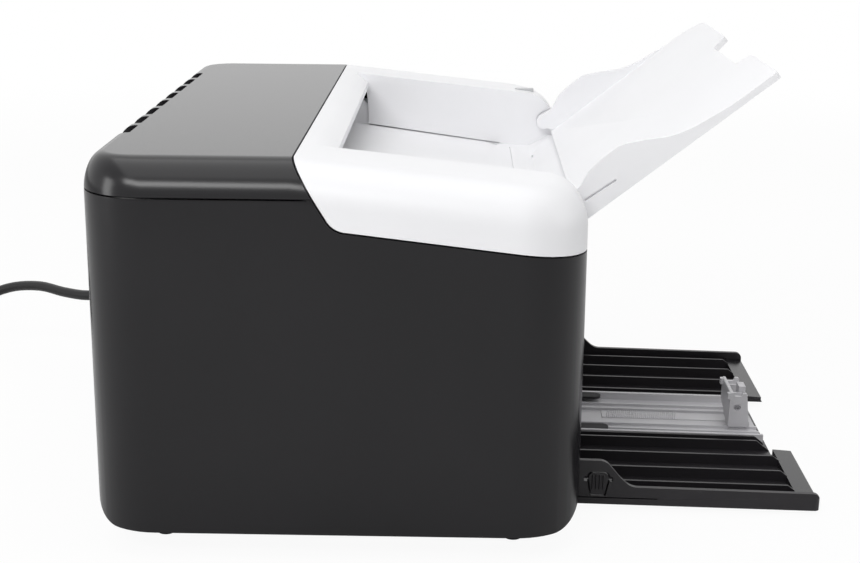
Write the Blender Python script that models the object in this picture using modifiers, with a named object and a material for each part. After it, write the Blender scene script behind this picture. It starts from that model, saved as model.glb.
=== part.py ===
# Desktop laser printer with its paper tray folded down and its output flap swung open.
# Metres, +Z up, the front faces -Y. The origin is on the table, under the middle of
# everything but the mains lead.

from math import atan2, ceil, cos, hypot, pi, radians, sin, tan

import bmesh
import bpy
from mathutils import Matrix, Vector

# Whole machine
BODY_WIDTH = 0.340
BODY_DEPTH = 0.218
BODY_HEIGHT = 0.178
TRAY_REACH = 0.117
WALL = 0.0025
FIT_GAP = 0.0003
SEAM_GAP = 0.0006
OVERRUN = 0.010
ARC_STEPS = 6

# Body skin
CORNER_RADIUS = 0.030
CROWN_RADIUS = 0.017
CROWN_SLOPE = 0.107
SLOPE_START_SHARE = 0.5788991
SKIRT_BOTTOM = 0.0107
TOE_RADIUS = 0.014
LID_SEAM_SHARE = 0.9146067
COVER_TOP_REAR_SHARE = 0.5770642
COVER_KNEE_REAR_SHARE = 0.496789
COVER_KNEE_HEIGHT_SHARE = 0.8398876
COVER_EDGE_FRONT_SHARE = 0.7696629
KNEE_RADIUS = 0.010
MOUTH_SIDE_GAP = 0.001

# Vents
VENT_COUNT = 8
VENT_PITCH = 0.0266
VENT_WIDTH = 0.0205
VENT_OFFSET = 0.012
VENT_BACK = 0.0095
VENT_BOTTOM_SHARE = 0.9578652

# Output recess
RECESS_WIDTH_SHARE = 0.7205882
RECESS_WALL = 0.0025
RECESS_FLOOR = 0.002
RIM_EDGE_SHARE = 0.5
RIM_CHAMFER_REAR_SHARE = 0.5366972
RIM_CHAMFER_DROP = 0.0055
RIM_BOTTOM_SHARE = 0.9325843
EXIT_REAR_SHARE = 0.516055
FLOOR_REAR_SHARE = 0.8230337
FLOOR_FRONT_SHARE = 0.1490826
FLOOR_FRONT_HEIGHT_SHARE = 0.7617978
FLOOR_DIP_FRONT_SHARE = 0.0688073
FLOOR_DIP_HEIGHT_SHARE = 0.758427
SILL_DEPTH = 0.004
SILL_HEIGHT_SHARE = 0.7921348
BUTTON_X_SHARE = 0.7823529
BUTTON_FRONT = 0.0125
BUTTON_REAR = 0.0235
BUTTON_WIDTH = 0.0034
BUTTON_RISE = 0.0012

# Output flap
FLAP_ANGLE = radians(38)
FLAP_SIDE_GAP = 0.0055
FLAP_LENGTH = 0.104
FLAP_ROOT_Y = 0.001
FLAP_ROOT_HEIGHT_SHARE = 0.8202247
FLAP_UNDER = 0.002
FLAP_RIM = 0.001
FLAP_POCKET = 0.001
FLAP_EDGE = 0.0016
FLAP_CORNER = 0.007
FLAP_NOTCH_HALF = 0.029
FLAP_NOTCH_OFFSET = -0.007
FLAP_NOTCH_DEPTH = 0.009
FLAP_NOTCH_RADIUS = 0.003
FIN_THICKNESS = 0.0025
FIN_HEIGHT = 0.017
FLAP_HINGE_BACK = 0.0035
FLAP_HINGE_RISE = 0.008
FLAP_PIN_RADIUS = 0.0022
FLAP_BOSS_RADIUS = 0.0042
PIN_CLEARANCE = 0.0003

# Paper tray
TRAY_DROOP = radians(1.1)
TRAY_WIDTH_SHARE = 0.6529412
TRAY_HINGE_BACK = 0.006
TRAY_HINGE_HEIGHT = 0.0104
TRAY_LENGTH = 0.123
TRAY_UNDER = 0.006
TRAY_FLOOR = 0.002
TRAY_WALL = 0.0025
TRAY_WALL_HEIGHT = 0.0087
CHEEK_HEIGHT = 0.0233
CHEEK_FALL = 0.0015
CHEEK_CROWN_END = 0.020
CHEEK_END = 0.0335
CHEEK_FRONT = 0.0072
RIB_WIDTH = 0.0016
RIB_HEIGHT = 0.0058
RIB_END = 0.112
RIB_START = 0.0075
LIP_START = 0.1135
LIP_HEIGHT = 0.0046
LIP_GAP_HALF = 0.039
TRAY_CORNER = 0.006
TRAY_BACK = 0.004
TRAY_SPARE = 0.003
CHEEK_HEEL = 0.0008
CHEEK_HEEL_HEIGHT = 0.0125
TRAY_PIN_RADIUS = 0.002
RIB_PLACE_SHARES = (0.43, 0.61, 0.79, 0.955)

# Snap latches in the tray cheeks
LATCH_START = 0.0115
LATCH_END = 0.0240
LATCH_BOTTOM = 0.0028
LATCH_TOP = 0.0156
LATCH_THICKNESS = 0.0018
LATCH_GRIPS = 4
LATCH_GRIP_RISE = 0.0007
LATCH_RADIUS = 0.004

# Guide channel and end guide on the tray
CHANNEL_WIDTH = 0.062
CHANNEL_WALL = 0.0016
CHANNEL_BASE = 0.0014
CHANNEL_HEIGHT = 0.0054
CHANNEL_START = 0.0075
CHANNEL_END = 0.1105
RAIL_X = 0.019
RAIL_WIDTH = 0.002
RACK_X = 0.0085
RACK_WIDTH = 0.015
RACK_START = 0.032
RACK_LENGTH = 0.036
RACK_TEETH = 18
RACK_RISE = 0.0012
BAR_LENGTH = 0.028
TAB_X = 0.025
TAB_WIDTH = 0.008
TAB_LENGTH = 0.0225
TAB_THICKNESS = 0.0014
GUIDE_WIDTH = 0.028
GUIDE_NEAR = 0.095
GUIDE_FAR = 0.1057
GUIDE_HEIGHT = 0.0195
GUIDE_WALL = 0.0018
GUIDE_FLANGE = 0.0022
GUIDE_FLANGE_WIDTH = 0.034
LEVER_WIDTH = 0.008
LEVER_THICKNESS = 0.002
LEVER_HEIGHT = 0.0165
LEVER_GAP = 0.0026
LEVER_PIN = 0.0011
LEVER_PIVOT_RISE = 0.0060

# Base pan and feet
PAN_EDGE = 0.0015
PAN_FLANGE = 0.0025
PAN_INSET = 0.008
PAN_BOTTOM = 0.004
PAN_FLOOR = 0.0025
PAN_CORNER = 0.024
FOOT_RADIUS = 0.0075
FOOT_INSET = 0.026
LUG_THICKNESS = 0.0027
LUG_RADIUS = 0.006

# Rear of the body
GLAND_X = 0.060
GLAND_HEIGHT = 0.058
GLAND_RADIUS = 0.0058
SOCKET_X = 0.100
SOCKET_HEIGHT = 0.040
SOCKET_WIDTH = 0.0125
SOCKET_TALL = 0.0115
SOCKET_DEPTH = 0.016
SOCKET_WALL = 0.0008

# Paper path inside
BED_FRONT_SHARE = 0.0963303
BED_BACK = 0.021
BED_WIDTH_SHARE = 0.6235294
BED_GROOVE_FLOOR = 0.0015
BED_THICKNESS = 0.0036
PAPER_WIDTH_SHARE = 0.6352941
SIDE_GUIDE_FRONT_SHARE = 0.1834862
SIDE_GUIDE_REAR_SHARE = 0.6880734
SIDE_GUIDE_HEIGHT = 0.017
SIDE_GUIDE_WALL = 0.0016
SIDE_GUIDE_TRAVEL = 0.055
PINION_Y_SHARE = 0.4357798
PINION_TEETH = 16
PINION_RADIUS = 0.008
TOOTH_ADDENDUM = 0.0007
TOOTH_DEDENDUM = 0.0010
RACK_BAR_DEPTH = 0.004
RACK_OVERLAP = 0.010
PICK_BACK = 0.0338
PICK_Z_SHARE = 0.1853933
PICK_RADIUS = 0.015
PICK_WIDTH = 0.040
SHAFT_RADIUS = 0.003
PAD_FRONT_BACK = 0.018
PAD_BACK = 0.0115
PAD_BOTTOM = 0.0138
PAD_HEIGHT = 0.016
PAD_WIDTH = 0.044
FEED_BACK = 0.022
FEED_Z_SHARE = 0.3707865
FEED_RADIUS = 0.007
PINCH_RADIUS = 0.0033
ROLLER_WIDTH = 0.018
ROLLER_OFFSET = 0.045

# Imaging and fusing units
FRAME_X_SHARE = 0.7558824
FRAME_THICKNESS = 0.0015
FRAME_FRONT_SHARE = 0.1376147
FRAME_BACK = 0.0055
FRAME_STEP_SHARE = 0.4954128
FRAME_LOW_TOP_SHARE = 0.7247191
FRAME_TOP_SHARE = 0.9044944
BEARING_GAP = 0.0003
CARTRIDGE_FRONT_SHARE = 0.2752294
CARTRIDGE_BACK = 0.056
CARTRIDGE_BOTTOM_SHARE = 0.3370787
CARTRIDGE_TOP_SHARE = 0.6067416
CARTRIDGE_ROOF_SHARE = 0.6629213
DRUM_BACK = 0.0385
DRUM_Z_SHARE = 0.5168539
DRUM_RADIUS = 0.012
DRUM_WIDTH_SHARE = 0.6705882
TRANSFER_RADIUS = 0.007
SCANNER_FRONT_SHARE = 0.5688073
SCANNER_BACK = 0.05
SCANNER_BOTTOM_SHARE = 0.6825843
SCANNER_TOP_SHARE = 0.7668539
HEAT_BACK = 0.034
HEAT_Z_SHARE = 0.752809
HEAT_RADIUS = 0.009
HEAT_WIDTH_SHARE = 0.6529412
FUSER_WALL = 0.002
EXIT_Y_SHARE = 0.6123853
EXIT_Z_SHARE = 0.8511236
EXIT_RADIUS = 0.0055
EXIT_ROLLER_WIDTH = 0.020
EXIT_PLACE_SHARES = (-0.62, -0.22, 0.22, 0.62)

# Drive and electrics
MOTOR_BACK = 0.078
MOTOR_Z_SHARE = 0.4662921
MOTOR_RADIUS = 0.018
MOTOR_LENGTH = 0.019
MOTOR_TEETH = 10
DRUM_TEETH = 30
GEAR_MODULE = 0.002
GEAR_WIDTH = 0.006
BOARD_FRONT_SHARE = 0.2293578
BOARD_REAR_SHARE = 0.7798165
BOARD_BOTTOM_SHARE = 0.1685393
BOARD_TOP_SHARE = 0.6179775
BOARD_THICKNESS = 0.0016
BOARD_STAND = 0.006

# Mains lead: its real size, and where it leaves the machine and lies
CORD_DIAMETER = 0.0058
CORD_GAP = 0.0003
BOOT_LENGTH = 0.025
BOOT_TIP_RADIUS = 0.0039
BOOT_INSIDE = 0.006
BOOT_RINGS = 5
BOOT_SIDES = 20
COIL_X = 0.168
COIL_Y = 0.362
COIL_OUTER = 0.044
COIL_STEP = 0.0065
COIL_LAYER = 0.0065
COIL_TURNS = 7.25
COIL_LIFT = 0.0040
COIL_POINTS = 24
CORD_SPACING = 0.012
TIE_WIDTH = 0.008
TIE_THICKNESS = 0.0009
TIE_GAP = 0.0004
TIE_TURN = radians(-55)
PLUG_LENGTH = 0.030
PLUG_WIDTH = 0.024
PLUG_HEIGHT = 0.013
PLUG_NECK = 0.0045
PLUG_NECK_LENGTH = 0.016
PIN_LENGTH = 0.019
PIN_RADIUS = 0.002
PIN_SPACING = 0.0186
# Route of the free lead behind the machine, then of its tail to the plug
LEAD_ROUTE = ((0.0600, 0.1928, 0.0580), (0.0600, 0.1990, 0.0580), (0.0600, 0.2055, 0.0580),
              (0.0670, 0.2205, 0.0535), (0.0805, 0.2380, 0.0515), (0.0970, 0.2575, 0.0505),
              (0.1120, 0.2800, 0.0450), (0.1215, 0.3020, 0.0340), (0.1240, 0.3190, 0.0190),
              (0.1240, 0.3350, 0.0080), (0.1240, 0.3480, 0.0041), (0.1240, 0.3559, 0.0040))
TAIL_ROUTE = ((0.1741, 0.4060, 0.0105), (0.1810, 0.4060, 0.0105), (0.1960, 0.4045, 0.0092),
              (0.2140, 0.4000, 0.0070), (0.2320, 0.3960, 0.0065), (0.2460, 0.3950, 0.0065),
              (0.2530, 0.3950, 0.0065))

# Places that several pieces share
FRONT_Y = TRAY_REACH - (BODY_DEPTH + TRAY_REACH) / 2
REAR_Y = FRONT_Y + BODY_DEPTH
HALF_BODY = BODY_WIDTH / 2
MIDDLE_Y = (FRONT_Y + REAR_Y) / 2
# Places and widths that go by the body's own depth, height and width
SLOPE_START = BODY_DEPTH * SLOPE_START_SHARE
COVER_TOP_REAR = BODY_DEPTH * COVER_TOP_REAR_SHARE
COVER_KNEE_REAR = BODY_DEPTH * COVER_KNEE_REAR_SHARE
RIM_EDGE = BODY_DEPTH * RIM_EDGE_SHARE
RIM_CHAMFER_REAR = BODY_DEPTH * RIM_CHAMFER_REAR_SHARE
EXIT_REAR = BODY_DEPTH * EXIT_REAR_SHARE
FLOOR_FRONT = BODY_DEPTH * FLOOR_FRONT_SHARE
FLOOR_DIP_FRONT = BODY_DEPTH * FLOOR_DIP_FRONT_SHARE
BED_FRONT = BODY_DEPTH * BED_FRONT_SHARE
SIDE_GUIDE_FRONT = BODY_DEPTH * SIDE_GUIDE_FRONT_SHARE
SIDE_GUIDE_REAR = BODY_DEPTH * SIDE_GUIDE_REAR_SHARE
PINION_Y = BODY_DEPTH * PINION_Y_SHARE
FRAME_FRONT = BODY_DEPTH * FRAME_FRONT_SHARE
FRAME_STEP = BODY_DEPTH * FRAME_STEP_SHARE
CARTRIDGE_FRONT = BODY_DEPTH * CARTRIDGE_FRONT_SHARE
SCANNER_FRONT = BODY_DEPTH * SCANNER_FRONT_SHARE
EXIT_Y = BODY_DEPTH * EXIT_Y_SHARE
BOARD_FRONT = BODY_DEPTH * BOARD_FRONT_SHARE
BOARD_REAR = BODY_DEPTH * BOARD_REAR_SHARE
VENT_FRONT = BODY_DEPTH - VENT_BACK
BED_REAR = BODY_DEPTH - BED_BACK
PICK_Y = BODY_DEPTH - PICK_BACK
PAD_FRONT = BODY_DEPTH - PAD_FRONT_BACK
PAD_REAR = BODY_DEPTH - PAD_BACK
FEED_Y = BODY_DEPTH - FEED_BACK
FRAME_REAR = BODY_DEPTH - FRAME_BACK
CARTRIDGE_REAR = BODY_DEPTH - CARTRIDGE_BACK
DRUM_Y = BODY_DEPTH - DRUM_BACK
SCANNER_REAR = BODY_DEPTH - SCANNER_BACK
HEAT_Y = BODY_DEPTH - HEAT_BACK
MOTOR_Y = BODY_DEPTH - MOTOR_BACK
LID_SEAM = BODY_HEIGHT * LID_SEAM_SHARE
COVER_KNEE_HEIGHT = BODY_HEIGHT * COVER_KNEE_HEIGHT_SHARE
COVER_EDGE_FRONT = BODY_HEIGHT * COVER_EDGE_FRONT_SHARE
VENT_BOTTOM = BODY_HEIGHT * VENT_BOTTOM_SHARE
RIM_BOTTOM = BODY_HEIGHT * RIM_BOTTOM_SHARE
FLOOR_REAR = BODY_HEIGHT * FLOOR_REAR_SHARE
FLOOR_FRONT_HEIGHT = BODY_HEIGHT * FLOOR_FRONT_HEIGHT_SHARE
FLOOR_DIP_HEIGHT = BODY_HEIGHT * FLOOR_DIP_HEIGHT_SHARE
SILL_HEIGHT = BODY_HEIGHT * SILL_HEIGHT_SHARE
FLAP_ROOT_HEIGHT = BODY_HEIGHT * FLAP_ROOT_HEIGHT_SHARE
PICK_Z = BODY_HEIGHT * PICK_Z_SHARE
FEED_Z = BODY_HEIGHT * FEED_Z_SHARE
FRAME_LOW_TOP = BODY_HEIGHT * FRAME_LOW_TOP_SHARE
FRAME_TOP = BODY_HEIGHT * FRAME_TOP_SHARE
CARTRIDGE_BOTTOM = BODY_HEIGHT * CARTRIDGE_BOTTOM_SHARE
CARTRIDGE_TOP = BODY_HEIGHT * CARTRIDGE_TOP_SHARE
CARTRIDGE_ROOF = BODY_HEIGHT * CARTRIDGE_ROOF_SHARE
DRUM_Z = BODY_HEIGHT * DRUM_Z_SHARE
SCANNER_BOTTOM = BODY_HEIGHT * SCANNER_BOTTOM_SHARE
SCANNER_TOP = BODY_HEIGHT * SCANNER_TOP_SHARE
HEAT_Z = BODY_HEIGHT * HEAT_Z_SHARE
EXIT_Z = BODY_HEIGHT * EXIT_Z_SHARE
MOTOR_Z = BODY_HEIGHT * MOTOR_Z_SHARE
BOARD_BOTTOM = BODY_HEIGHT * BOARD_BOTTOM_SHARE
BOARD_TOP = BODY_HEIGHT * BOARD_TOP_SHARE
RECESS_WIDTH = BODY_WIDTH * RECESS_WIDTH_SHARE
TRAY_WIDTH = BODY_WIDTH * TRAY_WIDTH_SHARE
BED_WIDTH = BODY_WIDTH * BED_WIDTH_SHARE
PAPER_WIDTH = BODY_WIDTH * PAPER_WIDTH_SHARE
DRUM_WIDTH = BODY_WIDTH * DRUM_WIDTH_SHARE
HEAT_WIDTH = BODY_WIDTH * HEAT_WIDTH_SHARE
FRAME_X = HALF_BODY * FRAME_X_SHARE
BUTTON_X = HALF_BODY * BUTTON_X_SHARE
FLAP_WIDTH = RECESS_WIDTH - 2 * FLAP_SIDE_GAP
MOUTH_WIDTH = TRAY_WIDTH + 2 * MOUTH_SIDE_GAP
SLOPE_Y = FRONT_Y + SLOPE_START
COVER_STEEPNESS = (BODY_HEIGHT - COVER_KNEE_HEIGHT) / (COVER_TOP_REAR - COVER_KNEE_REAR)
COVER_EDGE_RISE = (COVER_KNEE_HEIGHT - COVER_EDGE_FRONT) / COVER_KNEE_REAR
FLAP_HINGE_Y = (FRONT_Y - FLAP_ROOT_Y + FLAP_HINGE_BACK * cos(FLAP_ANGLE)
                + FLAP_HINGE_RISE * sin(FLAP_ANGLE))
FLAP_HINGE_Z = (FLAP_ROOT_HEIGHT - FLAP_HINGE_BACK * sin(FLAP_ANGLE)
                + FLAP_HINGE_RISE * cos(FLAP_ANGLE))
TRAY_HINGE_Y = FRONT_Y + TRAY_HINGE_BACK

COLOURS = {
    "charcoal": ((0.024, 0.023, 0.026), 0.45, 0.0),
    "white": ((0.86, 0.86, 0.87), 0.40, 0.0),
    "black": ((0.011, 0.010, 0.012), 0.50, 0.0),
    "pale_grey": ((0.44, 0.44, 0.45), 0.50, 0.0),
    "cream": ((0.70, 0.68, 0.60), 0.55, 0.0),
    "rubber": ((0.018, 0.018, 0.019), 0.80, 0.0),
    "grey_rubber": ((0.12, 0.12, 0.125), 0.85, 0.0),
    "cork": ((0.30, 0.17, 0.08), 0.90, 0.0),
    "steel": ((0.58, 0.58, 0.58), 0.30, 1.0),
    "zinc_sheet": ((0.50, 0.51, 0.52), 0.42, 1.0),
    "drum_coat": ((0.05, 0.30, 0.24), 0.22, 0.0),
    "red_brown": ((0.22, 0.07, 0.03), 0.35, 0.0),
    "circuit_board": ((0.03, 0.20, 0.08), 0.50, 0.0),
    "cord_jacket": ((0.013, 0.013, 0.014), 0.55, 0.0),
    "brass": ((0.70, 0.52, 0.25), 0.30, 1.0),
}


def clear_scene():
    for old in list(bpy.data.objects):
        bpy.data.objects.remove(old, do_unlink=True)


def make_collections():
    parts = bpy.data.collections.new("laser_printer")
    tools = bpy.data.collections.new("cutters")
    bpy.context.scene.collection.children.link(parts)
    bpy.context.scene.collection.children.link(tools)
    return parts, tools


def make_materials():
    library = {}
    for name, (colour, roughness, metallic) in COLOURS.items():
        material = bpy.data.materials.new(name)
        material.use_nodes = True
        shader = material.node_tree.nodes["Principled BSDF"]
        shader.inputs["Base Color"].default_value = (*colour, 1.0)
        shader.inputs["Roughness"].default_value = roughness
        shader.inputs["Metallic"].default_value = metallic
        material.diffuse_color = (*colour, 1.0)
        library[name] = material
    return library


clear_scene()
PARTS, TOOLS = make_collections()
MATERIALS = make_materials()


def add_object(name, mesh):
    """A new object starts among the cutters; part() makes it one of the pieces."""
    made = bpy.data.objects.new(name, mesh)
    made.hide_render = True
    made.display_type = "WIRE"
    TOOLS.objects.link(made)
    return made


def part(made, name, finish, pivot=None):
    """Names a finished piece, gives it its own material and hangs it on its pivot."""
    made.name = name
    made.data.name = name
    made.hide_render = False
    made.display_type = "TEXTURED"
    TOOLS.objects.unlink(made)
    PARTS.objects.link(made)
    own = MATERIALS[finish].copy()
    own.name = f"{name}_{finish}"
    made.data.materials.clear()
    made.data.materials.append(own)
    if pivot is not None:
        made.parent = pivot
    return made


def empty_at(name, place, tilt=0.0):
    pivot = bpy.data.objects.new(name, None)
    pivot.empty_display_size = WALL
    pivot.location = place
    pivot.rotation_euler = (tilt, 0.0, 0.0)
    PARTS.objects.link(pivot)
    return pivot


def mesh_from(name, bm):
    bmesh.ops.recalc_face_normals(bm, faces=bm.faces)
    mesh = bpy.data.meshes.new(name)
    bm.to_mesh(mesh)
    bm.free()
    return mesh


def block(low, high, name="block"):
    """A box between two corners."""
    bm = bmesh.new()
    bmesh.ops.create_cube(bm, size=1.0)
    low, high = Vector(low), Vector(high)
    bmesh.ops.scale(bm, vec=high - low, verts=bm.verts)
    bmesh.ops.translate(bm, vec=(high + low) / 2, verts=bm.verts)
    return add_object(name, mesh_from(name, bm))


TURNS = {
    "X": Matrix(((0, 0, 1), (1, 0, 0), (0, 1, 0))).to_4x4(),
    "Y": Matrix(((1, 0, 0), (0, 0, -1), (0, 1, 0))).to_4x4(),
    "Z": Matrix.Identity(4),
}


def plate(axis, outlines, start, end, name="plate"):
    """Flat outline pushed out along an axis. Outlines are (y, z), (x, z) or (x, y) points."""
    curve = bpy.data.curves.new(name, "CURVE")
    curve.dimensions = "2D"
    curve.fill_mode = "BOTH"
    curve.extrude = abs(end - start) / 2
    for outline in outlines:
        spline = curve.splines.new("POLY")
        spline.points.add(len(outline) - 1)
        for point, (across, up) in zip(spline.points, outline):
            point.co = (across, up, 0.0, 1.0)
        spline.use_cyclic_u = True
    drawn = bpy.data.objects.new(name, curve)
    TOOLS.objects.link(drawn)
    graph = bpy.context.evaluated_depsgraph_get()
    mesh = bpy.data.meshes.new_from_object(drawn.evaluated_get(graph))
    bpy.data.objects.remove(drawn)
    bpy.data.curves.remove(curve)
    bm = bmesh.new()
    bm.from_mesh(mesh)
    bpy.data.meshes.remove(mesh)
    bmesh.ops.remove_doubles(bm, verts=bm.verts, dist=FIT_GAP / 30)
    shift = {"X": (1, 0, 0), "Y": (0, 1, 0), "Z": (0, 0, 1)}[axis]
    move = Matrix.Translation(Vector(shift) * (start + end) / 2)
    bmesh.ops.transform(bm, matrix=move @ TURNS[axis], verts=bm.verts)
    return add_object(name, mesh_from(name, bm))


def rod(axis, centre, radius, start, end, sides=24, name="rod"):
    """Round bar along an axis. The centre is given as the other two coordinates."""
    bm = bmesh.new()
    bmesh.ops.create_cone(bm, cap_ends=True, segments=sides, radius1=radius, radius2=radius,
                          depth=abs(end - start))
    middle = (start + end) / 2
    across, up = centre
    turn = TURNS[axis]
    place = {"X": (middle, across, up), "Y": (across, middle, up), "Z": (across, up, middle)}
    move = Matrix.Translation(Vector(place[axis]))
    bmesh.ops.transform(bm, matrix=move @ turn, verts=bm.verts)
    made = add_object(name, mesh_from(name, bm))
    smooth(made)
    return made


def smooth(made, angle=radians(40)):
    made.data.shade_smooth()
    made.data.set_sharp_from_angle(angle=angle)


def combine(body, tool, operation):
    modifier = body.modifiers.new(f"{operation.lower()} {tool.name}", "BOOLEAN")
    modifier.operation = operation
    modifier.object = tool
    return body


def cut(body, *tools):
    for tool in tools:
        combine(body, tool, "DIFFERENCE")
    return body


def join(body, *tools):
    for tool in tools:
        combine(body, tool, "UNION")
    return body


def keep(body, *tools):
    for tool in tools:
        combine(body, tool, "INTERSECT")
    return body


def settle(body):
    """Applies the modifiers of a piece that goes on as one mesh."""
    graph = bpy.context.evaluated_depsgraph_get()
    mesh = bpy.data.meshes.new_from_object(body.evaluated_get(graph))
    body.modifiers.clear()
    old = body.data
    body.data = mesh
    bpy.data.meshes.remove(old)
    return body


def soften(body, width, segments=2):
    """Rounded edges on a piece whose mesh is final."""
    modifier = body.modifiers.new("rounded edges", "BEVEL")
    modifier.width = width
    modifier.segments = segments
    modifier.limit_method = "ANGLE"
    modifier.angle_limit = radians(50)
    return body


def fillet(corners, steps=ARC_STEPS):
    """Rounds the corners of an outline. Each corner is (across, up, radius)."""
    points = []
    count = len(corners)
    for index, (across, up, radius) in enumerate(corners):
        here = Vector((across, up))
        if radius == 0:
            points.append((across, up))
            continue
        before = Vector(corners[index - 1][:2]) - here
        after = Vector(corners[(index + 1) % count][:2]) - here
        half = before.angle(after) / 2
        reach = radius / tan(half)
        bisector = (before.normalized() + after.normalized()).normalized()
        centre = here + bisector * (radius / sin(half))
        first = here + before.normalized() * reach - centre
        last = here + after.normalized() * reach - centre
        start = atan2(first.y, first.x)
        sweep = atan2(last.y, last.x) - start
        sweep = (sweep + pi) % (2 * pi) - pi
        for step in range(steps + 1):
            angle = start + sweep * step / steps
            points.append((centre.x + radius * cos(angle), centre.y + radius * sin(angle)))
    return points


def circle(across, up, radius, sides=24):
    turns = [2 * pi * side / sides for side in range(sides)]
    return [(across + radius * cos(turn), up + radius * sin(turn)) for turn in turns]


def rectangle(low_a, high_a, low_b, high_b, radius=0.0, steps=ARC_STEPS):
    corners = [(low_a, low_b), (high_a, low_b), (high_a, high_b), (low_a, high_b)]
    return fillet([(a, b, radius) for a, b in corners], steps)


def crown_height(y):
    """Height of the top skin, flat at the rear and falling towards the front."""
    return BODY_HEIGHT - CROWN_SLOPE * max(0.0, SLOPE_Y - y)


def plan_ring(inset, height_of):
    """One level of the body: a rectangle with round corners and a point at the top's break."""
    half_x = HALF_BODY - inset
    half_y = BODY_DEPTH / 2 - inset
    radius = CORNER_RADIUS - inset
    points = []
    for quarter, (side, end) in enumerate(((1, -1), (1, 1), (-1, 1), (-1, -1))):
        centre_x = side * (half_x - radius)
        centre_y = MIDDLE_Y + end * (half_y - radius)
        for step in range(ARC_STEPS + 1):
            turn = (quarter - 1 + step / ARC_STEPS) * pi / 2
            x = centre_x + radius * cos(turn)
            y = centre_y + radius * sin(turn)
            points.append((x, y, height_of(y)))
        if quarter in (0, 2):
            points.append((side * half_x, SLOPE_Y, height_of(SLOPE_Y)))
    return points


def body_form(inset, name):
    """Loft of the whole body's outside, or of its inside when inset by the wall."""
    edge = CROWN_RADIUS - inset
    rings = [plan_ring(inset, lambda y: SKIRT_BOTTOM - OVERRUN)]
    for step in range(ARC_STEPS + 1):
        turn = pi / 2 * step / ARC_STEPS
        drop = inset + edge * (1 - sin(turn))
        shrink = inset + edge * (1 - cos(turn))
        rings.append(plan_ring(shrink, lambda y, drop=drop: crown_height(y) - drop))
    bm = bmesh.new()
    levels = [[bm.verts.new(point) for point in ring] for ring in rings]
    around = len(levels[0])
    for lower, upper in zip(levels, levels[1:]):
        for index in range(around):
            after = (index + 1) % around
            bm.faces.new((lower[index], lower[after], upper[after], upper[index]))
    bm.faces.new(list(reversed(levels[0])))
    right_break = ARC_STEPS + 1
    left_break = right_break + 2 * ARC_STEPS + 3
    top = levels[-1]
    bm.faces.new(top[right_break:left_break + 1])
    bm.faces.new(top[left_break:] + top[:right_break + 1])
    made = add_object(name, mesh_from(name, bm))
    return made


def toe_profile(inset, name):
    """Side view of the body with its rounded lower front and rear corners."""
    low = SKIRT_BOTTOM + inset
    high = BODY_HEIGHT + OVERRUN
    toe = TOE_RADIUS - inset
    corners = [(FRONT_Y + inset, low, toe), (REAR_Y - inset, low, toe),
               (REAR_Y - inset, high, 0), (FRONT_Y + inset, high, 0)]
    reach = HALF_BODY + OVERRUN
    return plate("X", [fillet(corners)], -reach, reach, name)


def skin(name):
    """Hollow body skin, open underneath."""
    outer = keep(body_form(0.0, f"{name} outside"), toe_profile(0.0, f"{name} toes"))
    inner = keep(body_form(WALL, f"{name} inside"), toe_profile(WALL, f"{name} inner toes"))
    settle(outer)
    settle(inner)
    inside = HALF_BODY - 2 * WALL
    toe = TOE_RADIUS
    opening = plate("Z", [rectangle(-inside, inside, FRONT_Y + toe, REAR_Y - toe,
                                    CORNER_RADIUS - toe)],
                    SKIRT_BOTTOM - OVERRUN, SKIRT_BOTTOM + OVERRUN, f"{name} bottom opening")
    cut(outer, inner, opening)
    return settle(outer)


def seam_points(offset):
    """Side view of the seam under the white cover, pushed down and back by an offset."""
    back = offset * hypot(1, 1 / COVER_STEEPNESS)
    down = offset * hypot(1, COVER_EDGE_RISE)
    high = BODY_HEIGHT + OVERRUN
    front = FRONT_Y - OVERRUN
    knee = (FRONT_Y + COVER_KNEE_REAR, COVER_KNEE_HEIGHT)
    # The knee moves to where the two shifted lines cross.
    rise = COVER_STEEPNESS - COVER_EDGE_RISE
    shift = (COVER_STEEPNESS * back - down) / rise
    knee_y = knee[0] + shift
    knee_z = knee[1] + COVER_EDGE_RISE * shift - down
    start_z = knee_z - COVER_EDGE_RISE * (knee_y - front)
    top_y = knee_y + (high - knee_z) / COVER_STEEPNESS
    return (front, start_z), (knee_y, knee_z), (top_y, high)


def cover_region(name):
    """Everything above the white cover's edge."""
    start, knee, top = seam_points(0.0)
    outline = fillet([(*start, 0), (*knee, KNEE_RADIUS), (*top, 0), (start[0], top[1], 0)])
    reach = HALF_BODY + OVERRUN
    return plate("X", [outline], -reach, reach, name)


def lid_region(name):
    """The rear of the top, above the level seam."""
    start, knee, top = seam_points(SEAM_GAP)
    lid_y = knee[0] + (LID_SEAM - knee[1]) / COVER_STEEPNESS
    rear = REAR_Y + OVERRUN
    outline = [(lid_y, LID_SEAM), (rear, LID_SEAM), (rear, top[1]), top]
    reach = HALF_BODY + OVERRUN
    return plate("X", [outline], -reach, reach, name)


def housing_region(name):
    """Everything under both covers."""
    start, knee, top = seam_points(SEAM_GAP)
    seat = LID_SEAM - SEAM_GAP
    seat_y = knee[0] + (seat - knee[1]) / COVER_STEEPNESS
    rear = REAR_Y + OVERRUN
    low = SKIRT_BOTTOM - OVERRUN
    outline = fillet([(start[0], low, 0), (rear, low, 0), (rear, seat, 0), (seat_y, seat, 0),
                      (*knee, KNEE_RADIUS), (*start, 0)])
    reach = HALF_BODY + OVERRUN
    return plate("X", [outline], -reach, reach, name)


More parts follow.
